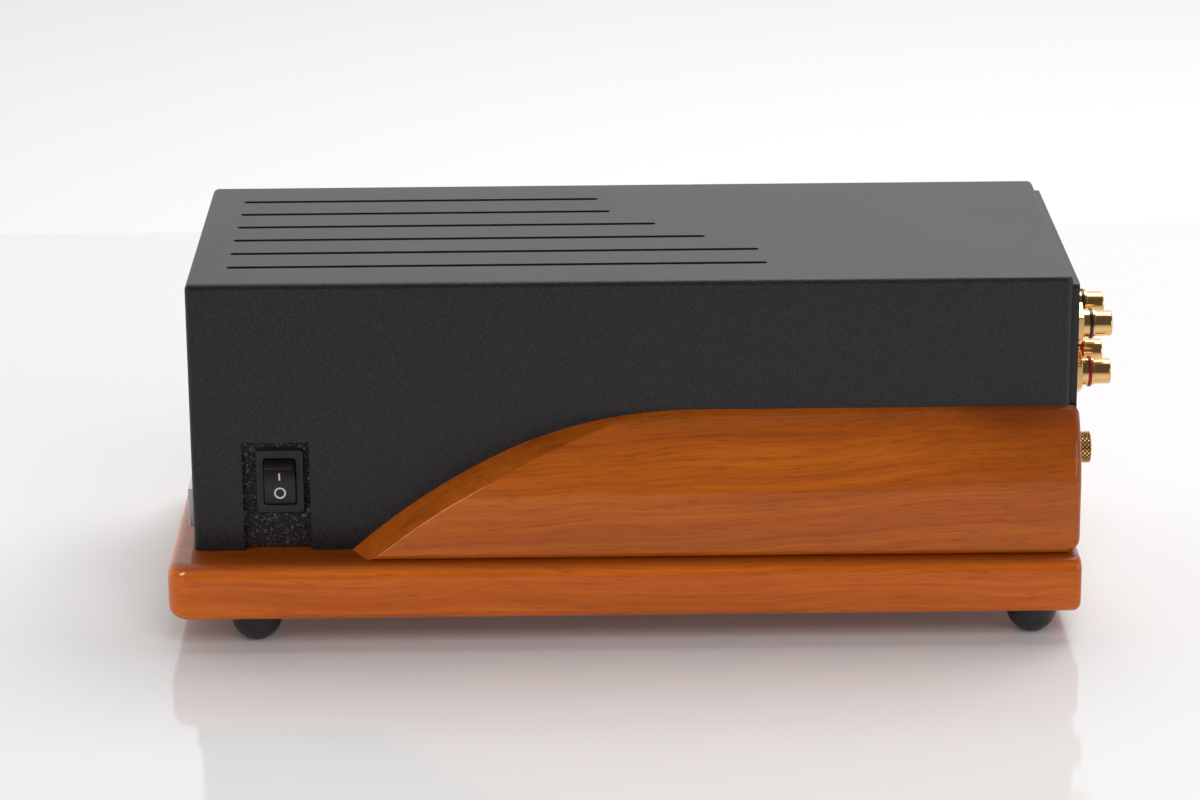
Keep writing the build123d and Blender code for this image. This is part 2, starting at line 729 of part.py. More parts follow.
def solder_tags():
    """Earth tags under the inner nuts of the phono sockets and of the earth terminal."""
    y1 = y_rear - washer_thick
    tags = [solder_tag(x, z, y1, lug_radius, jack_shank + seat) for x, z in jack_spots.values()]
    tags.append(solder_tag(earth_x, earth_z, y_rear, earth_washer_radius, stud_radius + seat))
    return tags


def jack_nuts():
    y1 = y_rear - washer_thick - lug_thick
    return [hex_y(x, y1 - jack_nut_thick, y1, z, jack_nut_flats)
            - rod_y(x, y1 - jack_nut_thick, y1, z, jack_shank + seat) for x, z in jack_spots.values()]


def jack_cores():
    """White insulators that hold the centre contacts."""
    cores = []
    for x, z in jack_spots.values():
        core = rod_y(x, well_floor, jack_end - 2 * contact_recess, z, jack_bore - seat)
        cores.append(core - rod_y(x, well_floor, jack_end, z, contact_radius + seat))
    return cores


def jack_contacts():
    contacts = []
    for x, z in jack_spots.values():
        y1 = jack_end - contact_recess
        tube = rod_y(x, jack_tail, y1, z, contact_radius)
        tube -= rod_y(x, well_floor, y1, z, contact_bore)
        contacts.append(tube + rod_y(x, jack_tail - contact_tail_length, jack_tail, z, contact_tail))
    return contacts


# ---- earth terminal ----
earth_hex_face = y_panel + earth_hex_thick
thumb_y0 = earth_hex_face + earth_washer_thick
thumb_y1 = thumb_y0 + thumb_length


def earth_post():
    post = hex_y(earth_x, y_panel, earth_hex_face, earth_z, earth_flats)
    return post + rod_y(earth_x, y_rear - stud_inside, thumb_y1 - thumb_cap - stud_play, earth_z, stud_radius)


def earth_washer():
    ring = rod_y(earth_x, earth_hex_face, thumb_y0, earth_z, earth_washer_radius)
    return ring - rod_y(earth_x, earth_hex_face, thumb_y0, earth_z, stud_radius + hole_gap)


def earth_thumb_nut():
    nut = rod_y(earth_x, thumb_y0, thumb_y1, earth_z, thumb_radius)
    nut = chamfer(nut.edges(), thumb_ease)
    return nut - rod_y(earth_x, thumb_y0, thumb_y1 - thumb_cap, earth_z, stud_radius + seat)


def earth_nut():
    y1 = y_rear - lug_thick
    nut = hex_y(earth_x, y1 - earth_nut_thick, y1, earth_z, earth_nut_flats)
    return nut - rod_y(earth_x, y1 - earth_nut_thick, y1, earth_z, stud_radius + seat)


# ---- mains inlet ----
inlet_z = base_top + inlet_up
inlet_face = y_panel + inlet_flange_thick
inlet_back = inlet_face - inlet_depth
plug_z = inlet_z - plug_well_drop
plug_floor = inlet_face - plug_well_depth
drawer_z = inlet_z + drawer_rise
drawer_width = fuse_length + 2 * (fuse_room + drawer_wall)
drawer_back = inlet_face - drawer_length
pin_spots = ((-pin_side, -pin_offset), (0, pin_offset), (pin_side, -pin_offset))


def inlet_housing():
    body = rounded_plate_y(inlet_x, inlet_z, inlet_flange_width, inlet_flange_tall, y_panel, inlet_face,
                           inlet_flange_round)
    body = fillet(body.faces().sort_by(Axis.Y)[-1].edges(), 0.8)
    body += block(inlet_x - inlet_body_width / 2, inlet_x + inlet_body_width / 2, inlet_back, y_panel,
                  inlet_z - inlet_body_tall / 2, inlet_z + inlet_body_tall / 2)
    well = block(inlet_x - plug_well_width / 2, inlet_x + plug_well_width / 2, plug_floor, inlet_face,
                 plug_z - plug_well_tall / 2, plug_z + plug_well_tall / 2)
    top_corners = well.edges().filter_by(Axis.Y).group_by(Axis.Z)[-1]
    body -= chamfer(top_corners, plug_well_corner)
    body -= block(inlet_x - drawer_width / 2 - drawer_gap, inlet_x + drawer_width / 2 + drawer_gap,
                  drawer_back - drawer_behind, inlet_face,
                  drawer_z - drawer_tall / 2 - drawer_gap, drawer_z + drawer_tall / 2 + drawer_gap)
    for dx, dz in pin_spots:
        body -= block(inlet_x + dx - pin_thick / 2, inlet_x + dx + pin_thick / 2, inlet_back, plug_floor,
                      plug_z + dz - pin_wide / 2, plug_z + dz + pin_wide / 2)
    for side in (-1, 1):
        x = inlet_x + side * inlet_screw_pitch / 2
        body -= rod_y(x, y_panel, inlet_face, inlet_z, m3 + hole_gap)
        body -= rod_y(x, inlet_face - m3_pan / 2, inlet_face, inlet_z, m3_head + hole_gap)
    return body


def inlet_pins():
    return [block(inlet_x + dx - pin_thick / 2, inlet_x + dx + pin_thick / 2, inlet_back - blade_length,
                  inlet_face - pin_recess, plug_z + dz - pin_wide / 2, plug_z + dz + pin_wide / 2)
            for dx, dz in pin_spots]


def inlet_screws():
    screws = []
    for side in (-1, 1):
        x = inlet_x + side * inlet_screw_pitch / 2
        head_back = inlet_face - m3_pan / 2
        screw = rod_y(x, head_back, head_back + m3_pan / 2, inlet_z, m3_head)
        screws.append(screw + rod_y(x, head_back - m3_length, head_back, inlet_z, m3 - seat))
    return screws


def inlet_nuts():
    nuts = []
    for side in (-1, 1):
        x = inlet_x + side * inlet_screw_pitch / 2
        nut = hex_y(x, y_rear - m3_pan, y_rear, inlet_z, m3_flats)
        nuts.append(nut - rod_y(x, y_rear - m3_pan, y_rear, inlet_z, m3))
    return nuts


def fuse_drawer():
    body = block(inlet_x - drawer_width / 2, inlet_x + drawer_width / 2, drawer_back, inlet_face,
                 drawer_z - drawer_tall / 2, drawer_z + drawer_tall / 2)
    body += rounded_plate_y(inlet_x, drawer_z, drawer_face_width, drawer_face_tall,
                            inlet_face, inlet_face + drawer_face_thick, 1.0)
    half = fuse_length / 2 + fuse_room
    room = fuse_radius + fuse_room
    body -= block(inlet_x - half, inlet_x + half, fuse_y - room, fuse_y + room,
                  drawer_z - room, drawer_z + drawer_tall / 2)
    return body


fuse_y = drawer_back + drawer_back_wall + fuse_radius + fuse_room
fuse_z = drawer_z


def fuse_glass():
    half = fuse_length / 2 - fuse_cap_length
    glass = rod_x(inlet_x - half, inlet_x + half, fuse_y, fuse_z, fuse_glass_radius)
    return glass - rod_x(inlet_x - half, inlet_x + half, fuse_y, fuse_z, fuse_glass_radius - fuse_glass_wall)


def fuse_caps():
    near = fuse_length / 2 - fuse_cap_length
    far = fuse_length / 2
    return [rod_x(inlet_x - far, inlet_x - near, fuse_y, fuse_z, fuse_radius),
            rod_x(inlet_x + near, inlet_x + far, fuse_y, fuse_z, fuse_radius)]


# ---- transformer ----
toroid_z = tray_floor + toroid_pad_thick
toroid_top = toroid_z + toroid_height


def transformer():
    ring = rod_z(toroid_x, toroid_y, toroid_z, toroid_top, toroid_radius)
    ring -= rod_z(toroid_x, toroid_y, toroid_z, toroid_top, toroid_hole)
    return fillet(ring.edges().filter_by(GeomType.CIRCLE), toroid_round - 1)


def transformer_pads():
    pads = []
    for z0, radius in ((tray_floor, toroid_pad_radius), (toroid_top, dish_radius)):
        pad = rod_z(toroid_x, toroid_y, z0, z0 + toroid_pad_thick, radius)
        pads.append(pad - rod_z(toroid_x, toroid_y, z0, z0 + toroid_pad_thick, toroid_bolt + hole_gap))
    return pads


def transformer_dish():
    z0 = toroid_top + toroid_pad_thick
    plate = rod_z(toroid_x, toroid_y, z0, z0 + dish_thick, dish_radius)
    return plate - rod_z(toroid_x, toroid_y, z0, z0 + dish_thick, toroid_bolt + hole_gap)


def transformer_bolt():
    """Bolt from below the tray, with its head in a pocket of the plinth."""
    top = toroid_top + toroid_pad_thick + dish_thick + toroid_nut_thick + bolt_spare
    length = top - base_top
    return screw_up(toroid_x, toroid_y, base_top, length, toroid_bolt, toroid_bolt_head, toroid_bolt_pan)


def transformer_nut():
    z0 = toroid_top + toroid_pad_thick + dish_thick
    nut = hex_z(toroid_x, toroid_y, z0, z0 + toroid_nut_thick, toroid_nut_flats)
    return nut - rod_z(toroid_x, toroid_y, z0, z0 + toroid_nut_thick, toroid_bolt + seat)


# ---- circuit board ----
board_width = 2 * (tray_half - sheet - board_lane)
board_y0 = toroid_y + toroid_radius + board_gap
board_y1 = y_rear - board_rear
standoff_spots = [(side * (board_width / 2 - board_inset), y)
                  for side in (-1, 1)
                  for y in (board_y0 + board_inset, (board_y0 + board_y1) / 2, board_y1 - board_inset)]
valve_y = board_y0 + valve_inset
valve_spots = [(side * valve_pitch_x / 2, valve_y + row * valve_pitch_y)
               for row in (0, 1) for side in (-1, 1)]


def circuit_board():
    plate = block(-board_width / 2, board_width / 2, board_y0, board_y1, board_under, board_top)
    plate = fillet(plate.edges().filter_by(Axis.Z), 2.0)
    for x, y in standoff_spots:
        plate -= rod_z(x, y, board_under, board_top, m3 + hole_gap)
    return plate


def board_standoffs():
    posts = []
    for x, y in standoff_spots:
        post = hex_z(x, y, tray_floor, board_under, standoff_flats)
        post += rod_z(x, y, base_top, tray_floor, spigot_radius)
        posts.append(post - rod_z(x, y, base_top, board_under, m3))
    return posts


def board_screws():
    return [rod_z(x, y, board_top, board_top + m3_pan, m3_head)
            + rod_z(x, y, board_under - board_screw_bite, board_top, m3 - seat) for x, y in standoff_spots]


def pin_circle(x, y, z0, z1, radius):
    """Nine pins round a valve's base, with the gap of the missing tenth."""
    turns = [radians(i * 360 / (valve_pins + 1)) for i in range(1, valve_pins + 1)]
    return [rod_z(x + valve_pin_circle * cos(turn), y + valve_pin_circle * sin(turn), z0, z1, radius)
            for turn in turns]


def valve_sockets():
    sockets = []
    for x, y in valve_spots:
        body = rod_z(x, y, board_top, board_top + socket_height, socket_radius)
        body = chamfer(body.edges().sort_by(Axis.Z)[-1], 0.8)
        body -= rod_z(x, y, board_top, board_top + socket_height, socket_chimney)
        for pin in pin_circle(x, y, board_top + 1, board_top + socket_height, valve_pin_radius + seat):
            body -= pin
        sockets.append(body)
    return sockets


valve_z = board_top + socket_height
glass_z = valve_z + valve_base_thick


def valve_bases():
    bases = []
    for x, y in valve_spots:
        base = rod_z(x, y, valve_z, glass_z, valve_radius)
        for pin in pin_circle(x, y, valve_z - valve_pin_length, valve_z, valve_pin_radius):
            base += pin
        bases.append(base)
    return bases


def valve_envelopes():
    """Glass bulbs, each turned from one closed section of its wall, with a sealed tip."""
    shoulder = valve_height - valve_dome
    inner = valve_radius - valve_glass
    crown = valve_height - valve_glass
    section = [Line((valve_radius, 0), (valve_radius, shoulder)),
               TangentArc((valve_radius, shoulder), (valve_tip_radius, valve_height), tangent=(0, 1)),
               Polyline((valve_tip_radius, valve_height), (valve_tip_end, valve_height + valve_tip_height),
                        (0, valve_height + valve_tip_height), (0, crown), (valve_tip_radius, crown)),
               TangentArc((inner, shoulder), (valve_tip_radius, crown), tangent=(0, 1)),
               Polyline((inner, shoulder), (inner, 0), (valve_radius, 0))]
    bulb = turned(section)
    return [Pos(x, y, glass_z) * bulb for x, y in valve_spots]


def valve_electrodes():
    """Two plates round a cathode, between two mica discs on two posts."""
    z0 = glass_z
    z1 = z0 + electrode_lift
    z2 = z1 + electrode_length
    groups = []
    for x, y in valve_spots:
        core = rod_z(x, y, z1, z2, cathode_radius)
        for side in (-1, 1):
            middle = x + side * electrode_side
            core += block(middle - electrode_width / 2, middle + electrode_width / 2,
                          y - electrode_depth / 2, y + electrode_depth / 2, z1, z2)
            core += rod_z(x + side * post_side, y, z0, z2 + post_spare, post_radius)
        for z in (z1, z2):
            core += rod_z(x, y, z - mica_thick, z, mica_radius)
        groups.append(core)
    return groups


def filter_capacitors():
    first = filter_margin + filter_radius - board_width / 2
    pitch = -2 * first / (filter_count - 1)
    cans = []
    for i in range(filter_count):
        can = rod_z(first + i * pitch, board_y1 - filter_inset, board_top, board_top + filter_height,
                    filter_radius)
        cans.append(fillet(can.edges().sort_by(Axis.Z)[-1], filter_round))
    return cans


def film_capacitors():
    """Box capacitors in a row, each standing on its two wires."""
    y = valve_y + valve_pitch_y + film_gap
    z0 = board_top + film_lift
    blocks = []
    for side in (-1, 1):
        for x in (side * film_first, side * (film_first + film_pitch)):
            body = block(x - film_thick / 2, x + film_thick / 2, y - film_length / 2, y + film_length / 2,
                         z0, z0 + film_height)
            body = fillet(body.edges().group_by(Axis.Z)[-1], film_round)
            for end in (-1, 1):
                body += rod_z(x, y + end * film_wire_pitch / 2, board_top, z0, film_wire)
            blocks.append(body)
    return blocks


def resistors():
    """A row of resistors, each standing on its two bent wires."""
    first = valve_y + valve_pitch_y / 2 - resistor_pitch * (resistor_count - 1) / 2
    axis_z = board_top + resistor_lift
    end = resistor_length / 2 + resistor_bend
    wire = resistor_wire
    pieces = []
    for i in range(resistor_count):
        y = first + i * resistor_pitch
        body = rod_x(-resistor_length / 2, resistor_length / 2, y, axis_z, resistor_radius)
        body += block(-end, end, y - wire, y + wire, axis_z - wire, axis_z + wire)
        for x in (-end, end):
            body += block(x - wire, x + wire, y - wire, y + wire, board_top, axis_z + wire)
        pieces.append(body)
    return pieces


# ---- wiring ----
lane_x = board_lane / 2 - (tray_half - sheet)            # between the board and the tray's left wall
pin_tail = inlet_back - blade_length
pin_z = plug_z - pin_offset
blade_end = tray_half - switch_depth - blade_length


def wire(points, bend):
    """A wire along straight runs that meet in equal bends."""
    path = FilletPolyline(*points, radius=bend)
    return sweep(Plane(path @ 0, z_dir=path % 0) * Circle(wire_radius), path=path)


def mains_wires():
    """From the inlet's pins to the switch, the transformer and the tray, and on to the board."""
    live_z = switch_z + blade_pitch / 2
    back_z = switch_z - blade_pitch / 2
    low_z = base_top + low_lane
    left, right = inlet_x - pin_side, inlet_x + pin_side
    cross_y = toroid_y - toroid_radius - cross_room
    turn_x = blade_end - wire_room - wire_bend
    rim = toroid_radius + wire_gap
    live = [(left, pin_tail, pin_z), (left, pin_tail - wire_lead, pin_z),
            (lane_x, pin_tail - wire_lead, live_z), (lane_x, cross_y, live_z),
            (turn_x, cross_y, live_z), (turn_x, switch_y, live_z), (blade_end, switch_y, live_z)]
    neutral = [(right, pin_tail, pin_z), (right, pin_tail - neutral_lead, pin_z),
               (right, pin_tail - neutral_lead, low_z), (lane_x, pin_tail - neutral_lead, low_z),
               (lane_x, toroid_y, low_z), (toroid_x - rim, toroid_y, low_z)]
    earth = [(inlet_x, pin_tail, plug_z + pin_offset), (inlet_x, pin_tail - earth_lead, plug_z + pin_offset),
             (inlet_x, pin_tail - earth_lead, tray_floor)]
    wires = [wire(route, wire_bend) for route in (live, neutral, earth)]
    side_x = toroid_x + sqrt(toroid_radius**2 - (toroid_y - switch_y)**2)
    wires.append(rod_x(side_x + switch_gap, blade_end, switch_y, back_z, wire_radius))
    for side in (-1, 1):
        x = toroid_x + side * wire_room
        start = toroid_y + sqrt(toroid_radius**2 - wire_room**2) + wire_gap
        z = toroid_z + toroid_height / 2
        route = [(x, start, z), (x, board_y0 + wire_room, z), (x, board_y0 + wire_room, board_top)]
        wires.append(wire(route, wire_bend))
    return wires


def signal_wires():
    """From each phono socket's centre contact down to the board's rear edge."""
    wires = []
    for x, z in jack_spots.values():
        drop = board_y1 - signal_inset * (1 if z == jack_rows[0] else 2)
        wires.append(wire([(x, jack_tail - contact_tail_length, z), (x, drop, z), (x, drop, board_top)],
                          signal_bend))
    return wires


os.makedirs("parts", exist_ok=True)
write("base_board", plinth())
right_cheek = cheek()
write("cheek_right", with_screw_holes(right_cheek, 1))
write("cheek_left", with_screw_holes(mirror(right_cheek, Plane.YZ), -1))
for place, y in (("front", base_y0 + foot_front_inset), ("rear", base_y1 - foot_rear_inset)):
    write(f"foot_{place}_right", foot(1, y))
    write(f"foot_{place}_left", foot(-1, y))
write("plinth_screws", chassis_screws() + cheek_screws())
write("chassis_nuts", chassis_nuts())
write("cover", cover())
write("chassis_tray", tray())
write("rear_panel", rear_panel())
write("panel_screws", [countersunk(x, z, m3 - seat, m3_head) for x, z in panel_screw_spots])
write("front_plate", badge_plate())
write("front_plate_tape", badge_tape())
write("switch_housing", switch_housing())
write("switch_rocker", switch_rocker())
write("switch_terminals", switch_terminals())
for name, (x, z) in jack_spots.items():
    write(f"jack_{name}", jack_body(x, z))
    write(f"jack_ring_{name}", jack_ring(x, z))
write("jack_bushings", jack_bushings())
write("solder_tags", solder_tags())
write("jack_nuts", jack_nuts())
write("jack_cores", jack_cores())
write("jack_contacts", jack_contacts())
write("earth_post", earth_post())
write("earth_washer", earth_washer())
write("earth_thumb_nut", earth_thumb_nut())
write("earth_nut", earth_nut())
write("inlet_housing", inlet_housing())
write("inlet_pins", inlet_pins())
write("inlet_screws", inlet_screws())
write("inlet_nuts", inlet_nuts())
write("fuse_drawer", fuse_drawer())
write("fuse_glass", fuse_glass())
write("fuse_caps", fuse_caps())
write("transformer", transformer())
write("transformer_pads", transformer_pads())
write("transformer_dish", transformer_dish())
write("transformer_bolt", transformer_bolt())
write("transformer_nut", transformer_nut())
write("circuit_board", circuit_board())
write("board_standoffs", board_standoffs())
write("board_screws", board_screws())
write("valve_sockets", valve_sockets())
write("valve_bases", valve_bases())
write("valve_envelopes", valve_envelopes())
write("valve_electrodes", valve_electrodes())
write("filter_capacitors", filter_capacitors())
write("film_capacitors", film_capacitors())
write("resistors", resistors())
write("mains_wires", mains_wires())
write("signal_wires", signal_wires())
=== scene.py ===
from math import atan2, cos, pi, radians, sin, sqrt

import bmesh
import bpy
from mathutils import Matrix, Vector


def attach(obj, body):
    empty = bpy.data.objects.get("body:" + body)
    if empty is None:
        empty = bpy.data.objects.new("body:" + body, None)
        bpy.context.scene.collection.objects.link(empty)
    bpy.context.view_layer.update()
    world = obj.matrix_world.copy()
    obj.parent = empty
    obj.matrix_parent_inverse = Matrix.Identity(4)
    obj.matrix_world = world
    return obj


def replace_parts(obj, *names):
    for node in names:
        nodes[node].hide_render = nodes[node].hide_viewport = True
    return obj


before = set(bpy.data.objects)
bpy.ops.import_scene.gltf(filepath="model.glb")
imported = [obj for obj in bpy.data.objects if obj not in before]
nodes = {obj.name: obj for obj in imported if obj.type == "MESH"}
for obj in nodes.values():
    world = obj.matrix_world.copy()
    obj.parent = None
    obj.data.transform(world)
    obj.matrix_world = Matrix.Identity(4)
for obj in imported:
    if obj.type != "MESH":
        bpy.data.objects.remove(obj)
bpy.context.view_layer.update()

# ---- Plinth and cheeks -------------------------------------------------------------------------
# A thick cherry board carries the unit, and two shaped cherry boards are screwed on at its sides.
# Rounded over with a router, stained a warm orange brown and finished with a satin clear lacquer.

mm = 0.001


class Shade:
    """An output of a shader node. Each sum on it adds one Math node."""

    def __init__(self, owner, socket):
        self.owner, self.socket = owner, socket

    def sum(self, kind, left, right):
        return self.owner.node("ShaderNodeMath", {"operation": kind}, {0: left, 1: right})

    def __add__(self, other):
        return self.sum("ADD", self, other)

    def __sub__(self, other):
        return self.sum("SUBTRACT", self, other)

    def __rsub__(self, other):
        return self.sum("SUBTRACT", other, self)

    def __mul__(self, other):
        return self.sum("MULTIPLY", self, other)

    def __pow__(self, other):
        return self.sum("POWER", self, other)

    __radd__ = __add__
    __rmul__ = __mul__


class Nodes:
    """The shader nodes of a material or of the room, empty at first."""

    def __init__(self, tree):
        self.tree = tree
        tree.nodes.clear()

    def fill(self, socket, value):
        """Links a shade to a socket, or sets the socket to a plain value."""
        if isinstance(value, Shade):
            self.tree.links.new(value.socket, socket)
        else:
            socket.default_value = value

    def node(self, kind, settings, inputs, output=0):
        """Adds a node: its settings first, then the values or links of its sockets."""
        made = self.tree.nodes.new(kind)
        for name, value in settings.items():
            setattr(made, name, value)
        for name, value in inputs.items():
            self.fill(made.inputs[name], value)
        return Shade(self, made.outputs[output]) if output is not None else None


class Finish(Nodes):
    """One material: a principled surface and the nodes that feed it."""

    def __init__(self, name):
        self.material = bpy.data.materials.new(name)
        self.material.use_nodes = True
        super().__init__(self.material.node_tree)
        surface = self.node("ShaderNodeBsdfPrincipled", {}, {})
        self.body = surface.socket.node
        self.node("ShaderNodeOutputMaterial", {}, {"Surface": surface}, None)
        self.place = self.node("ShaderNodeTexCoord", {}, {}, "Object")
        parts = self.node("ShaderNodeSeparateXYZ", {}, {0: self.place}).socket.node.outputs
        self.x, self.y, self.z = (Shade(self, part) for part in parts)

    def stretched(self, x, y, z):
        """Object coordinates with each axis scaled, so that a pattern draws out along an axis."""
        return self.node("ShaderNodeMapping", {}, {"Vector": self.place, "Scale": (x, y, z)})

    def noise(self, place, scale, detail=2.0, rough=0.5, bend=0.0):
        return self.node("ShaderNodeTexNoise", {},
                         {"Vector": place, "Scale": scale, "Detail": detail,
                          "Roughness": rough, "Distortion": bend})

    def fade(self, value, low, high):
        """0 below low, 1 above high, smooth between."""
        return self.node("ShaderNodeMapRange", {"interpolation_type": "SMOOTHSTEP"},
                         {"Value": value, "From Min": low, "From Max": high})

    def mix(self, share, first, second):
        """The first colour where share is 0, the second where it is 1."""
        return self.node("ShaderNodeMix", {"data_type": "RGBA"},
                         {0: share, 6: first, 7: second}, 2)

    def bump(self, height, depth):
        """A normal from a height of 0 to 1 that stands for depth in metres."""
        return self.node("ShaderNodeBump", {}, {"Height": height, "Distance": depth})

    def feed(self, **inputs):
        """Sets or links sockets of the principled surface: base_color feeds Base Color."""
        names = {"ior": "IOR", "specular_ior_level": "Specular IOR Level"}
        for name, value in inputs.items():
            self.fill(self.body.inputs[names.get(name, name.replace("_", " ").title())], value)


def tint(red, green, blue):
    """A colour given in the 0 to 255 steps of a paint chart, as linear light."""
    steps = (v / 255 for v in (red, green, blue))
    return tuple(v / 12.92 if v < 0.04045 else ((v + 0.055) / 1.055) ** 2.4
                 for v in steps) + (1.0,)


def lacquered_cherry(name, offset, figure, slope, stain=1.0, top=None):
    """Cherry along Y: soft bands, fine darker lines, short pores and broad clouds of figure.

    On a board whose top face is at that height, the top face and the start of its rounding are
    painted darker, as painted shade where the unit keeps light off it."""
    wood = Finish(name)
    tilt = wood.node("ShaderNodeMapping", {},
                     {"Vector": wood.place, "Location": offset, "Rotation": (slope, 0, 0)})
    sway = wood.node("ShaderNodeTexNoise", {}, {"Vector": tilt, "Scale": 11.0, "Detail": 2.0}, 1)
    grown = wood.node("ShaderNodeVectorMath", {"operation": "MULTIPLY_ADD"},
                      {0: sway, 1: (0.008, 0.0, 0.014), 2: tilt})

    def along(across, lengthways):
        return wood.node("ShaderNodeVectorMath", {"operation": "MULTIPLY"},
                         {0: grown, 1: (across, lengthways, across)})

    def shade(red, green, blue):
        return tint(red * stain, green * stain, blue * stain)

    clouds = wood.noise(along(13, 3.2), 1.0, 3.0, 0.5, 0.9)
    bands = wood.noise(along(75, 1.6), 1.0, 4.0, 0.6, 0.2)
    lines = wood.noise(along(620, 9), 1.0, 4.0, 0.7, 0.1)
    fibre = wood.noise(along(2300, 55), 1.0, 2.0, 0.6)
    pores = wood.noise(along(1900, 120), 1.0, 1.0, 0.5)
    streak = wood.noise(along(150, 2.2), 1.0, 3.0, 0.55, 0.3)
    deep = wood.fade(clouds, 0.48, 0.7) * figure
    streaked = wood.fade(streak, 0.58, 0.72) * 0.4 * (deep + 0.35)
    pit = wood.fade(pores, 0.62, 0.72)
    colour = wood.mix(wood.fade(bands, 0.25, 0.75), shade(206, 107, 24), shade(178, 83, 14))
    colour = wood.mix(wood.fade(lines, 0.4, 0.7) * 0.42, colour, shade(144, 60, 8))
    colour = wood.mix(wood.fade(fibre, 0.42, 0.78) * 0.4, colour, shade(140, 60, 8))
    colour = wood.mix(deep, colour, shade(120, 50, 6))
    colour = wood.mix(streaked, colour, shade(100, 40, 6))
    colour = wood.mix(pit * 0.3, colour, shade(96, 38, 7))
    if top:
        # painted shade: darkens the top face and the top of its rounding, not a deeper stain
        painted_top_shade = wood.fade(wood.z, (top - 2.6) * mm, top * mm) * 0.6
        colour = wood.mix(painted_top_shade, colour, shade(78, 26, 4))
    wood.feed(base_color=colour, roughness=wood.fade(lines, 0.2, 0.9) * 0.08 + 0.38,
              coat_weight=0.5, coat_roughness=0.14, specular_ior_level=0.1,
              normal=wood.bump(1 - pit * 0.4 - lines * 0.2, 0.04 * mm))
    return wood


def shade_smooth(form, angle):
    """Shades a mesh smooth but for edges that turn by the angle in degrees, or flat for 0."""
    for face in form.faces:
        face.smooth = angle > 0
    for edge in form.edges:
        edge.smooth = len(edge.link_faces) == 2 and edge.calc_face_angle(0) < radians(angle)


def placed(name, data):
    """An object for a mesh, a lamp or a camera."""
    piece = bpy.data.objects.new(name, data)
    bpy.context.scene.collection.objects.link(piece)
    return piece


def smooth_copy(node, body, finish, angle=24):
    """A new piece from a merged copy of a node's mesh, shaded smooth between its sharp edges."""
    mesh = nodes[node].data.copy()
    form = bmesh.new()
    form.from_mesh(mesh)
    bmesh.ops.remove_doubles(form, verts=form.verts, dist=0.002 * mm)
    bmesh.ops.recalc_face_normals(form, faces=form.faces)
    shade_smooth(form, angle)
    form.to_mesh(mesh)
    form.free()
    for name in ("custom_normal", "sharp_face"):
        if name in mesh.attributes:
            mesh.attributes.remove(mesh.attributes[name])
    mesh.materials.clear()
    mesh.materials.append(finish.material)
    piece = placed(node + "_shown", mesh)
    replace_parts(piece, node)
    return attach(piece, body)


plinth_top, cheek_angle = 28.2, 30
plinth_wood = lacquered_cherry("plinth_cherry", (0.3, 0.12, 0.7), 0.4, 0.0, 1.15, plinth_top)
right_wood = lacquered_cherry("right_cheek_cherry", (0.02, 0.31, 0.05), 0.75, radians(-3))
left_wood = lacquered_cherry("left_cheek_cherry", (0.5, 0.02, 0.4), 0.6, radians(2))
smooth_copy("base_board", "chassis", plinth_wood)
smooth_copy("cheek_right", "chassis", right_wood, cheek_angle)
smooth_copy("cheek_left", "chassis", left_wood, cheek_angle)

# ---- Feet --------------------------------------------------------------------------------------
# Four moulded black rubber domes, glued under the board's corners.
# The rubber has a dull skin with a faint mould bloom, and dust where the dome meets the shelf.

rubber = Finish("dome_rubber")
bloom = rubber.noise(rubber.place, 90, 4.0, 0.6)
dust = 1 - rubber.fade(rubber.z, 0.0, 3.5 * mm)
rubber.feed(base_color=rubber.mix(bloom * 0.5 + dust * 0.3, tint(22, 22, 23), tint(52, 51, 50)),
            roughness=bloom * 0.2 + 0.34,
            normal=rubber.bump(rubber.noise(rubber.place, 2600), 0.02 * mm))
for end in ("front", "rear"):
    for side in ("right", "left"):
        smooth_copy(f"foot_{end}_{side}", "chassis", rubber)

# ---- Chassis hardware --------------------------------------------------------------------------
# Zinc plated steel screws, nuts and standoffs that join the board, the tray and the circuit board.
# The plating is pale with a bluish cast and fine turning marks.


def dress(finish, *names):
    """Gives nodes of the model a better material in their own slots."""
    for name in names:
        nodes[name].material_slots[0].material = finish.material


def plated(name, colour, low, high, speck=400, depth=0.01 * mm, metallic=1.0):
    """A bright plated metal with cloudy roughness and fine marks."""
    metal = Finish(name)
    cloud = metal.noise(metal.place, speck, 3.0, 0.6)
    mark = metal.noise(metal.place, speck * 7)
    dull = tuple(v * 0.72 for v in colour[:3]) + (1.0,)
    metal.feed(base_color=metal.mix(cloud, colour, dull), metallic=metallic,
               roughness=cloud * (high - low) + low, normal=metal.bump(mark, depth))
    return metal


zinc = plated("zinc_plate", tint(200, 203, 208), 0.2, 0.42)
dress(zinc, "plinth_screws", "chassis_nuts", "earth_nut", "inlet_nuts", "board_standoffs",
      "board_screws", "transformer_bolt", "transformer_nut", "transformer_dish")

# ---- Cover and tray ----------------------------------------------------------------------------
# The cover is one folded steel sheet with six long cooling slots and a notch for the switch.
# Its powder coat has a fine even grain. The tray under it has a coarse, wrinkled black paint.

powder = Finish("fine_powder_coat")
grain = powder.noise(powder.place, 1500, 2.0, 0.6)
fine = powder.noise(powder.place, 4200, 1.0)
patch = powder.noise(powder.place, 24, 3.0)
powder.feed(base_color=powder.mix(powder.fade(grain, 0.35, 0.75), tint(19, 17, 20),
                                  tint(45, 42, 45)),
            roughness=grain * 0.14 + patch * 0.06 + 0.38,
            normal=powder.bump(grain * 0.7 + fine * 0.3, 0.12 * mm))
smooth_copy("cover", "chassis", powder)

wrinkle = Finish("wrinkle_paint")
folds = wrinkle.noise(wrinkle.place, 980, 2.0, 0.5, 0.5)
ridge = wrinkle.fade(folds, 0.38, 0.64)
wrinkle.feed(base_color=wrinkle.mix(ridge, tint(30, 29, 30), tint(70, 69, 71)),
             roughness=0.5 - ridge * 0.22, normal=wrinkle.bump(ridge, 0.9 * mm))
dress(wrinkle, "chassis_tray")

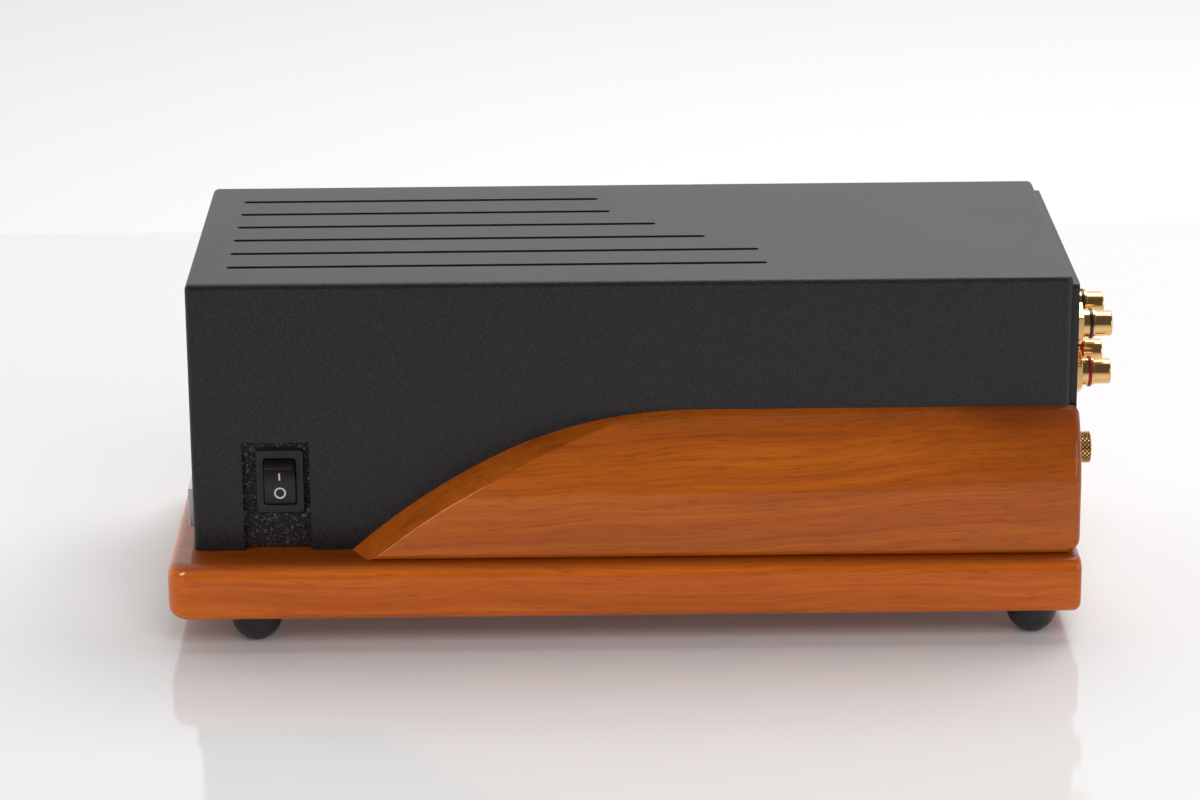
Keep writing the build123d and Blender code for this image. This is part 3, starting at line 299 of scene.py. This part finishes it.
# ---- Rear panel --------------------------------------------------------------------------------
# A flat black plate with rounded corners, held by six countersunk screws with cross recesses.
# The paint is smoother than the cover's, with slight orange peel.

panel_paint = Finish("panel_satin_black")
peel = panel_paint.noise(panel_paint.place, 520)
haze = panel_paint.noise(panel_paint.place, 35, 4.0, 0.6)
panel_paint.feed(base_color=panel_paint.mix(haze, tint(24, 24, 25), tint(33, 33, 34)),
                 roughness=haze * 0.12 + 0.4, normal=panel_paint.bump(peel, 0.03 * mm))
smooth_copy("rear_panel", "chassis", panel_paint)

turned_angle = 32


def new_piece(name, form, finish, body="chassis", angle=turned_angle):
    """Closes a bmesh into a named piece with its material, slot and body."""
    bmesh.ops.remove_doubles(form, verts=form.verts, dist=0.001 * mm)
    bmesh.ops.recalc_face_normals(form, faces=form.faces)
    shade_smooth(form, angle)
    mesh = bpy.data.meshes.new(name)
    form.to_mesh(mesh)
    form.free()
    mesh.materials.append(finish.material)
    piece = placed(name, mesh)
    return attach(piece, body)


def turn(form, outline, x, z, steps=64):
    """Turns an outline of (radius, y) in millimetres about an axis along Y through x, z."""
    points = [form.verts.new(((x + r) * mm, y * mm, z * mm)) for r, y in outline]
    edges = [form.edges.new(pair) for pair in zip(points, points[1:])]
    bmesh.ops.spin(form, geom=points + edges, cent=(x * mm, 0, z * mm), axis=(0, 1, 0),
                   angle=2 * pi, steps=steps, use_merge=True)
    bmesh.ops.remove_doubles(form, verts=form.verts, dist=0.0005 * mm)


panel_face, shank_long = 140.85, 8
arm_wide, arm_thick, arm_long = 0.42, 0.03, 1.35
black_oxide = plated("black_oxide", tint(34, 34, 36), 0.32, 0.5, 300, 0.01 * mm, 0.7)


def countersunk_head(form, x, z):
    """A flush screw: a turned blank with its shank and centre pit, and four thin dark arms."""
    y = panel_face
    turn(form, [(0, y - 1.0), (0.5, y - 0.85), (0.62, y - 0.02), (2.6, y - 0.02), (2.8, y - 0.1),
                (2.75, y - 0.2), (1.45, y - 1.5), (1.45, y - shank_long), (0, y - shank_long)],
         x, z, 40)
    for step in range(4):
        arm = bmesh.ops.create_cube(form, size=1.0)["verts"]
        bmesh.ops.scale(form, vec=(arm_wide * mm, arm_thick * mm, arm_long * mm), verts=arm)
        bmesh.ops.translate(form, vec=(0, 0, 0.68 * mm), verts=arm)
        bmesh.ops.rotate(form, cent=(0, 0, 0), verts=arm,
                         matrix=Matrix.Rotation(radians(45 + 90 * step), 3, "Y"))
        bmesh.ops.translate(form, vec=(x * mm, (y - 0.012) * mm, z * mm), verts=arm)


screws = bmesh.new()
flange_mid, row_low, row_high, foot_mid, foot_row = 54.9, 48.2, 103.2, 19, 34.2
for x, z in ((-flange_mid, row_low), (-flange_mid, row_high), (flange_mid, row_low),
             (flange_mid, row_high), (-foot_mid, foot_row), (foot_mid, foot_row)):
    countersunk_head(screws, x, z)
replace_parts(new_piece("panel_screw_heads", screws, black_oxide), "panel_screws")

# ---- Front plate -------------------------------------------------------------------------------
# A bare strip of aluminium with bevelled edges, brushed lengthways.
# It stands off the front face on a strip of black foam tape.

brushed = Finish("brushed_aluminium")
hair = brushed.noise(brushed.stretched(60, 1800, 2600), 1.0, 3.0, 0.6)
smear = brushed.noise(brushed.place, 40, 3.0)
brushed.feed(base_color=brushed.mix(hair, tint(222, 221, 218), tint(176, 176, 175)),
             metallic=1.0, roughness=hair * 0.16 + smear * 0.1 + 0.22,
             normal=brushed.bump(hair, 0.012 * mm))
dress(brushed, "front_plate")

foam = Finish("foam_tape")
cells = foam.noise(foam.place, 3000, 2.0, 0.7)
foam.feed(base_color=foam.mix(cells, tint(30, 30, 30), tint(62, 62, 61)), roughness=0.85,
          normal=foam.bump(cells, 0.08 * mm))
dress(foam, "front_plate_tape")

# ---- Mains switch ------------------------------------------------------------------------------
# A snap-in rocker switch: housing and bezel moulded in fine grained nylon, a smoother hollow-faced
# rocker with its crests rounded over, and the off and on marks printed on it in white.


def moulded(name, colour, grain_scale, low, high, depth):
    """A moulded plastic with spark-eroded grain and a little handling shine."""
    plastic = Finish(name)
    spark = plastic.noise(plastic.place, grain_scale, 2.0, 0.6)
    shine = plastic.noise(plastic.place, 70, 3.0)
    pale = tuple(min(1.0, v * 1.5 + 0.004) for v in colour[:3]) + (1.0,)
    plastic.feed(base_color=plastic.mix(spark, colour, pale),
                 roughness=spark * (high - low) + shine * 0.08 + low,
                 normal=plastic.bump(spark, depth))
    return plastic


nylon = moulded("grained_nylon", tint(29, 28, 29), 2400, 0.42, 0.58, 0.02 * mm)
rocker_skin = moulded("rocker_plastic", tint(13, 13, 14), 3200, 0.3, 0.38, 0.006 * mm)
smooth_copy("switch_housing", "chassis", nylon)
rocker = smooth_copy("switch_rocker", "switch_rocker", rocker_skin)

crest_round, crest_angle = 0.3, 40
tips = bmesh.new()
tips.from_mesh(rocker.data)
crests = [e for e in tips.edges
          if len(e.link_faces) == 2 and e.calc_face_angle(0) > radians(crest_angle)
          and abs((e.verts[0].co - e.verts[1].co).normalized().y) > 0.95]
bmesh.ops.bevel(tips, geom=crests, affect="EDGES", offset=crest_round * mm,
                offset_type="OFFSET", segments=3, profile=0.5, material=-1)
shade_smooth(tips, turned_angle)
tips.to_mesh(rocker.data)
tips.free()

ink = Finish("white_ink")
speckle = ink.noise(ink.place, 5000)
ink.feed(base_color=ink.mix(speckle, tint(226, 226, 228), tint(200, 200, 204)),
         roughness=0.45 + speckle * 0.1)
pivot = Vector((59.4, -116.8, 51.8)) * mm
face_radius, face_centre, rest_tip = 16.3, 18.7, radians(12.5)


def lay_on_rocker(form):
    """Bends flat print, drawn in Y and Z, on to the hollow face and tips it with the rocker."""
    for vert in form.verts:
        lift, y, z = vert.co
        vert.co = Vector((face_centre - sqrt(face_radius**2 - z * z) + lift, y, z)) * mm
    bmesh.ops.rotate(form, cent=(0, 0, 0), matrix=Matrix.Rotation(rest_tip, 3, "Y"),
                     verts=form.verts)
    bmesh.ops.translate(form, vec=pivot, verts=form.verts)


marks = bmesh.new()
ring_radius, stroke, bar_tall, mark_drop, ink_height = 1.65, 0.5, 3.0, 3.1, 0.04
section = [marks.verts.new((lift, ring_radius + out, 0)) for lift, out in
           ((-ink_height / 2, -stroke / 2), (ink_height / 2, -stroke / 2),
            (ink_height / 2, stroke / 2), (-ink_height / 2, stroke / 2))]
loop = [marks.edges.new((section[i - 1], section[i])) for i in range(4)]
bmesh.ops.spin(marks, geom=section + loop, cent=(0, 0, 0), axis=(1, 0, 0), angle=2 * pi,
               steps=48, use_merge=True)
bmesh.ops.translate(marks, vec=(0, 0, -mark_drop), verts=marks.verts)
bar = bmesh.ops.create_cube(marks, size=1.0)["verts"]
bmesh.ops.scale(marks, vec=(ink_height, stroke, bar_tall), verts=bar)
bmesh.ops.translate(marks, vec=(0, 0, mark_drop - 0.05), verts=bar)
uprights = [e for e in marks.edges
            if set(e.verts) <= set(bar) and abs(e.verts[0].co.z - e.verts[1].co.z) > 1]
bmesh.ops.subdivide_edges(marks, edges=uprights, cuts=9, use_grid_fill=True)
lay_on_rocker(marks)
new_piece("switch_marks", marks, ink, "switch_rocker")

tinned = plated("tinned_metal", tint(214, 214, 210), 0.25, 0.45)
dress(tinned, "switch_terminals", "solder_tags", "inlet_pins", "fuse_caps")

# ---- Phono sockets -----------------------------------------------------------------------------
# Turned brass shells with thick polished gold plate: barrel, collar, shoulder and hexagon in one.
# Each holds a white core with a gold contact, and a black or red ring tells left from right.

gold = Finish("polished_gold")
wipe = gold.noise(gold.place, 260, 3.0, 0.6)
lathe = gold.noise(gold.stretched(300, 9000, 300), 1.0)
gold.feed(base_color=gold.mix(wipe, tint(238, 198, 136), tint(214, 166, 104)), metallic=1.0,
          roughness=wipe * 0.1 + lathe * 0.06 + 0.1, normal=gold.bump(lathe, 0.004 * mm))
sockets = {"input_left": (43, 97.3), "input_right": (43, 81.0),
           "output_left": (21, 97.3), "output_right": (21, 81.0)}
tail, hex_back, hex_front, floor, seat, collar, mouth = (130.65, 141.45, 143.85, 144.35, 146.05,
                                                         147.05, 153.35)


def hexagon(form, x, z, y0, y1, flats):
    """A hexagonal bar along Y that stands on a corner."""
    reach = flats / 2 / cos(radians(30))
    ring = [form.verts.new(((x + reach * sin(radians(60 * i))) * mm, y0 * mm,
                            (z + reach * cos(radians(60 * i))) * mm)) for i in range(6)]
    grown = bmesh.ops.extrude_face_region(form, geom=[form.faces.new(ring)])["geom"]
    far = [v for v in grown if isinstance(v, bmesh.types.BMVert)]
    bmesh.ops.translate(form, vec=(0, (y1 - y0) * mm, 0), verts=far)


for place, (x, z) in sockets.items():
    shell = bmesh.new()
    turn(shell, [(2.2, tail), (3.9, tail), (4.0, tail + 0.1), (4.0, hex_back - 0.02),
                 (4.6, hex_back), (4.6, seat - 0.05), (4.15, seat), (4.15, collar),
                 (4.62, collar), (4.7, collar + 0.08), (4.7, collar + 0.72),
                 (4.62, collar + 0.8), (4.15, collar + 0.82), (4.15, mouth - 0.55),
                 (4.08, mouth - 0.25), (3.9, mouth - 0.07), (3.7, mouth), (3.5, mouth - 0.05),
                 (3.35, mouth - 0.25), (3.35, floor), (2.2, floor), (2.2, tail)], x, z)
    nut = bmesh.new()
    hexagon(nut, x, z, hex_back, hex_front, 12.3)
    bmesh.ops.bevel(nut, geom=nut.edges[:], offset=0.22 * mm, offset_type="OFFSET", segments=3,
                    profile=0.5, affect="EDGES", material=-1)
    nut_mesh = bpy.data.meshes.new("nut")
    nut.to_mesh(nut_mesh)
    nut.free()
    shell.from_mesh(nut_mesh)
    bpy.data.meshes.remove(nut_mesh)
    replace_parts(new_piece(f"socket_{place}", shell, gold), f"jack_{place}")

black_ring = moulded("black_ring", tint(20, 20, 22), 2000, 0.2, 0.3, 0.004 * mm)
red_ring = moulded("red_ring", tint(158, 4, 5), 2000, 0.34, 0.46, 0.01 * mm)
for place, (x, z) in sockets.items():
    band = bmesh.new()
    turn(band, [(4.2, seat + 0.01), (4.95, seat + 0.01), (5.05, seat + 0.11),
                (5.05, collar - 0.11), (4.95, collar - 0.01), (4.2, collar - 0.01),
                (4.2, seat + 0.01)], x, z, 48)
    left = place.endswith("left")
    colour, slot = (black_ring, "ring_black") if left else (red_ring, "ring_red")
    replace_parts(new_piece(f"band_{place}", band, colour), f"jack_ring_{place}")

core = moulded("white_core", tint(226, 226, 220), 900, 0.3, 0.4, 0.01 * mm)
dress(core, "jack_cores", "valve_sockets")
dress(gold, "jack_contacts", "jack_nuts", "earth_post", "earth_washer")
dress(nylon, "jack_bushings")

# ---- Earth terminal ----------------------------------------------------------------------------
# A gold plated stud and washer, and a thumb nut with a diamond knurl between plain eased ends.
# The low places between the diamonds are painted dark, as painted shade in the grooves.

earth_x, earth_z = 40.0, 53.9
nut_back, nut_end = 143.25, 148.15
knurl_rows, knurl_round, knurl_depth, knurl_radius, plain_radius = 7, 40, 0.36, 5.2, 4.95
knurl_back, knurl_end = nut_back + 0.6, nut_end - 0.5
knurled = Finish("knurled_gold")
from_axis = ((knurled.x - earth_x * mm) ** 2.0 + (knurled.z - earth_z * mm) ** 2.0) ** 0.5
# painted shade: the grooves between the diamonds are coloured near black
painted_groove_shade = 1 - knurled.fade(from_axis, 4.86 * mm, 4.96 * mm)
among_rows = (knurled.fade(knurled.y, (knurl_back - 0.15) * mm, knurl_back * mm)
              * (1 - knurled.fade(knurled.y, knurl_end * mm, (knurl_end + 0.15) * mm)))
raised = 1 - painted_groove_shade * among_rows
rubbed = knurled.noise(knurled.place, 260, 3.0, 0.6)
knurled.feed(base_color=knurled.mix(raised, tint(40, 16, 3), tint(255, 204, 124)),
             metallic=1 - raised * 0.4, roughness=rubbed * 0.06 + 0.14)

knurl = bmesh.new()
row_step = (knurl_end - knurl_back) / (knurl_rows - 1)
rows = [(knurl_radius, knurl_back + i * row_step) for i in range(knurl_rows)]
turn(knurl, [(0, nut_end - 0.9), (2.05, nut_end - 0.9), (2.05, nut_back), (4.4, nut_back),
             (4.6, nut_back + 0.1), (plain_radius, nut_back + 0.3)] + rows
     + [(plain_radius, nut_end - 0.25), (4.6, nut_end - 0.05), (4.4, nut_end), (3.0, nut_end),
        (2.9, nut_end - 0.12), (0, nut_end - 0.12)], earth_x, earth_z, knurl_round)
for vert in knurl.verts:
    dx, dz = vert.co.x / mm - earth_x, vert.co.z / mm - earth_z
    radius = sqrt(dx * dx + dz * dz)
    if radius > knurl_radius - 0.05:
        row = round((vert.co.y / mm - knurl_back) / row_step)
        column = round(atan2(dz, dx) / (2 * pi / knurl_round))
        if (row + column) % 2:
            shrink = (radius - knurl_depth) / radius
            vert.co.x, vert.co.z = (earth_x + dx * shrink) * mm, (earth_z + dz * shrink) * mm
# each cell folds along its two low corners, which leaves a pyramid round each high one
first, last = (knurl_back - 0.01) * mm, (knurl_end + 0.01) * mm
diamonds = [f for f in knurl.faces if all(first < v.co.y < last for v in f.verts)]
bmesh.ops.triangulate(knurl, faces=diamonds, quad_method="SHORT_EDGE")
thumb_nut = new_piece("knurled_thumb_nut", knurl, knurled, "earth_thumb_nut",
                      angle=0)
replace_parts(thumb_nut, "earth_thumb_nut")

# ---- Mains inlet -------------------------------------------------------------------------------
# A three-pole inlet moulded in black nylon, with its fuse drawer above the mouth.
# Two black screws and nuts hold it to the panel. The fuse in the drawer is clear glass.

smooth_copy("inlet_housing", "chassis", nylon)
smooth_copy("fuse_drawer", "fuse_drawer", nylon)
dress(black_oxide, "inlet_screws")

glass = Finish("clear_glass")
film = glass.noise(glass.place, 60, 3.0)
glass.feed(base_color=glass.mix(film, (0.96, 0.98, 0.98, 1), (0.9, 0.93, 0.93, 1)),
           roughness=film * 0.03 + 0.01, transmission_weight=1.0, ior=1.5)
dress(glass, "fuse_glass", "valve_bases")

# ---- Transformer -------------------------------------------------------------------------------
# A toroidal transformer wound round with amber polyester tape, each turn lapping the last.
# It is bolted down between rubber pads, under a steel dish.

core_x, core_y, tape_turns = -10.0, -87.35, 64
tape = Finish("winding_tape")
turn_angle = tape.node("ShaderNodeMath", {"operation": "ARCTAN2"},
                       {0: tape.y - core_y * mm, 1: tape.x - core_x * mm})
lap = tape.node("ShaderNodeMath", {"operation": "FRACT"},
                {0: turn_angle * (tape_turns / (2 * pi))})
tape.feed(base_color=tape.mix(lap, tint(196, 150, 48), tint(150, 104, 26)),
          roughness=lap * 0.15 + 0.2, coat_weight=0.4, normal=tape.bump(lap, 0.1 * mm))
dress(tape, "transformer")
dress(rubber, "transformer_pads")

# ---- Circuit board -----------------------------------------------------------------------------
# A green laminate with its solder mask, and the valves, capacitors and resistors that stand on it.
# The valves have blown glass bulbs, silvered by the getter at the top, round grey electrodes.

mask = Finish("solder_mask")
tracks = mask.node("ShaderNodeTexBrick", {"offset": 0.37},
                   {"Vector": mask.place, "Scale": 60.0, "Mortar Size": 0.03,
                    "Color1": (0, 0, 0, 1), "Color2": (0, 0, 0, 1), "Mortar": (1, 1, 1, 1)}, "Fac")
weave = mask.noise(mask.place, 1200)
mask.feed(base_color=mask.mix(tracks, tint(18, 74, 34), tint(40, 112, 52)),
          roughness=0.25 + weave * 0.1, normal=mask.bump(tracks * 0.5 + weave * 0.2, 0.03 * mm))
dress(mask, "circuit_board")

bulb = Finish("valve_glass")
getter = bulb.fade(bulb.z, 88 * mm, 96 * mm)
swirl = bulb.noise(bulb.place, 90)
bulb.feed(base_color=bulb.mix(getter, (0.95, 0.97, 0.97, 1), tint(150, 150, 152)),
          metallic=getter, roughness=swirl * 0.06 + 0.02, transmission_weight=1.0, ior=1.5)
dress(bulb, "valve_envelopes")

electrode = plated("electrode_metal", tint(88, 88, 90), 0.35, 0.6, 500, 0.02 * mm)
dress(electrode, "valve_electrodes")
sleeve = moulded("capacitor_sleeve", tint(24, 24, 34), 1600, 0.2, 0.32, 0.01 * mm)
dress(sleeve, "filter_capacitors")
red_case = moulded("film_case", tint(140, 24, 20), 1500, 0.26, 0.38, 0.01 * mm)
dress(red_case, "film_capacitors")

resistor = Finish("resistor_lacquer")
stripe = resistor.node("ShaderNodeMath", {"operation": "FRACT"}, {0: resistor.x * 520 + 0.5})
band_here = resistor.fade(stripe, 0.62, 0.64)
resistor.feed(base_color=resistor.mix(band_here, tint(150, 180, 200), tint(96, 44, 24)),
              roughness=0.3 + resistor.noise(resistor.place, 900) * 0.1)
dress(resistor, "resistors")

# ---- Wiring ------------------------------------------------------------------------------------
# Stranded copper wires in plain extruded sheaths, soldered at both ends.
# The sheaths are dark red for the signal, and brown and blue for the mains.

for name, first, second in (("mains_wires", tint(92, 50, 26), tint(26, 70, 140)),
                            ("signal_wires", tint(128, 22, 18), tint(96, 16, 14))):
    sheath = Finish(name + "_sheath")
    side = sheath.fade(sheath.z, 46 * mm, 48 * mm)
    rub = sheath.noise(sheath.place, 500)
    sheath.feed(base_color=sheath.mix(side, second, first), roughness=rub * 0.15 + 0.4,
                normal=sheath.bump(rub, 0.01 * mm))
    dress(sheath, name)

# ---- Room --------------------------------------------------------------------------------------
# A glossy pale table with a lighter sheet behind it. One soft box hangs overhead and one lights
# the table alone. Three light the unit: a low fill, one at the right rear and one for its edges.

table_alone, unit_alone, eased_edges = (bpy.data.collections.new(name) for name in
                                        ("table_alone", "unit_alone", "eased_edges"))


def table_top(name, x0, x1, z, colour, rough, lit):
    """A flat pale sheet for the unit to stand on, lit through from below."""
    finish = Finish(name)
    cloud = finish.noise(finish.place, 1.5)
    pale = tuple(v * 0.985 for v in colour[:3]) + (1.0,)
    finish.feed(base_color=finish.mix(cloud, colour, pale), roughness=cloud * 0.02 + rough,
                ior=1.45, emission_color=(1.0, 0.985, 0.98, 1), emission_strength=lit)
    form = bmesh.new()
    sheet = bmesh.ops.create_grid(form, x_segments=4, y_segments=4, size=1.0)["verts"]
    bmesh.ops.scale(form, vec=((x1 - x0) / 2, 8, 1), verts=sheet)
    bmesh.ops.translate(form, vec=((x0 + x1) / 2, 0, z), verts=sheet)
    mesh = bpy.data.meshes.new(name)
    form.to_mesh(mesh)
    form.free()
    mesh.materials.append(finish.material)
    piece = placed(name, mesh)
    for group in (table_alone, unit_alone):
        group.objects.link(piece)


sheet_edge = -0.43
table_top("table", sheet_edge, 8.0, 0.0, (0.68, 0.673, 0.672, 1), 0.06, 0.05)
table_top("back_sheet", -8.0, sheet_edge, -0.0005, (0.72, 0.72, 0.722, 1), 0.5, 0.1)
# unit_alone names the table as left out, so a lamp with it lights all but the table
for entry in unit_alone.collection_objects:
    entry.light_linking.link_state = "EXCLUDE"
for board in ("base_board", "cheek_right", "cheek_left", "switch_rocker"):
    eased_edges.objects.link(bpy.data.objects[board + "_shown"])

# the walls are bright behind the unit and dark in front of it, and one pale tone to the camera
room = bpy.data.worlds.new("room")
bpy.context.scene.world = room
room.use_nodes = True
walls = Nodes(room.node_tree)
way = walls.node("ShaderNodeTexCoord", {}, {}, "Generated")
towards = walls.node("ShaderNodeSeparateXYZ", {}, {0: way}, "X")
gloom = walls.node("ShaderNodeMapRange", {"interpolation_type": "SMOOTHSTEP"},
                   {"Value": towards, "From Min": -0.55, "From Max": 0.25,
                    "To Min": 1.12, "To Max": 0.1})
seen = walls.node("ShaderNodeLightPath", {}, {}, "Is Camera Ray")
level = walls.node("ShaderNodeMix", {}, {0: seen, 2: gloom, 3: 0.85})
glow = walls.node("ShaderNodeBackground", {}, {"Color": (1, 1, 1, 1), "Strength": level})
walls.node("ShaderNodeOutputWorld", {}, {"Surface": glow}, None)


def stand(piece, place, side, up, back):
    """Puts a lamp or a camera at place, with its X, Y and Z axes along side, up and back."""
    axes = Matrix((side, up, back)).transposed()
    piece.matrix_world = Matrix.Translation(place) @ axes.to_4x4()


def soft_box(name, place, aim, size, power, tall=None, along=(0, 1, 0), reaches=None,
             gloss=True, soft=True):
    """An area light at place that faces aim, its long side turned along a direction.

    The collection in reaches says which pieces it lights. Without gloss it gives no highlight,
    and without soft nothing else."""
    lamp = bpy.data.lights.new(name, "AREA")
    lamp.shape = "RECTANGLE"
    lamp.size, lamp.size_y = size, tall or size
    lamp.energy = power
    back = (Vector(place) - Vector(aim)).normalized()
    side = (Vector(along) - back * back.dot(Vector(along))).normalized()
    holder = placed(name, lamp)
    stand(holder, place, side, back.cross(side), back)
    holder.light_linking.receiver_collection = reaches
    holder.visible_glossy, holder.visible_diffuse = gloss, soft


soft_box("overhead", (-0.48, 0.35, 1.35), (0, 0.05, 0), 0.9, 13.5)
soft_box("table_box", (1.05, 0.3, 1.1), (0.15, 0, 0), 0.9, 9.5, reaches=table_alone)
soft_box("low_fill", (0.95, -0.8, 0.6), (0, 0, 0.05), 0.8, 7.5, 0.3, reaches=unit_alone,
         gloss=False)
soft_box("right_box", (0.9, 1.4, 0.35), (0, 0, 0.03), 0.9, 6, reaches=unit_alone)
soft_box("edge_light", (0.84, -0.99, 0.91), (0.07, -0.06, 0.05), 0.75, 14, 0.3,
         (0.09, 0.43, 0.38), eased_edges, soft=False)

# ---- Camera ------------------------------------------------------------------------------------
# A long lens on a stand at the unit's right side, 1.3 metres off and half a metre up.
# It looks down on the unit at 18 degrees and leans very slightly.

yaw, pitch, roll = -0.00880, 0.31199, -0.00764
ahead = Vector((-cos(pitch) * cos(yaw), -cos(pitch) * sin(yaw), -sin(pitch)))
sideways = ahead.cross(Vector((0, 0, 1))).normalized()
upward = sideways.cross(ahead)
right = cos(roll) * sideways + sin(roll) * upward
above = cos(roll) * upward - sin(roll) * sideways
camera = placed("camera", bpy.data.cameras.new("camera"))
camera.data.lens = 121.79
camera.data.sensor_width = 36.0
camera.data.clip_start, camera.data.clip_end = 0.05, 50.0
stand(camera, (1.3037, -0.02395, 0.4794), right, above, -ahead)
bpy.context.scene.camera = camera
bpy.context.scene.view_settings.view_transform = "Standard"
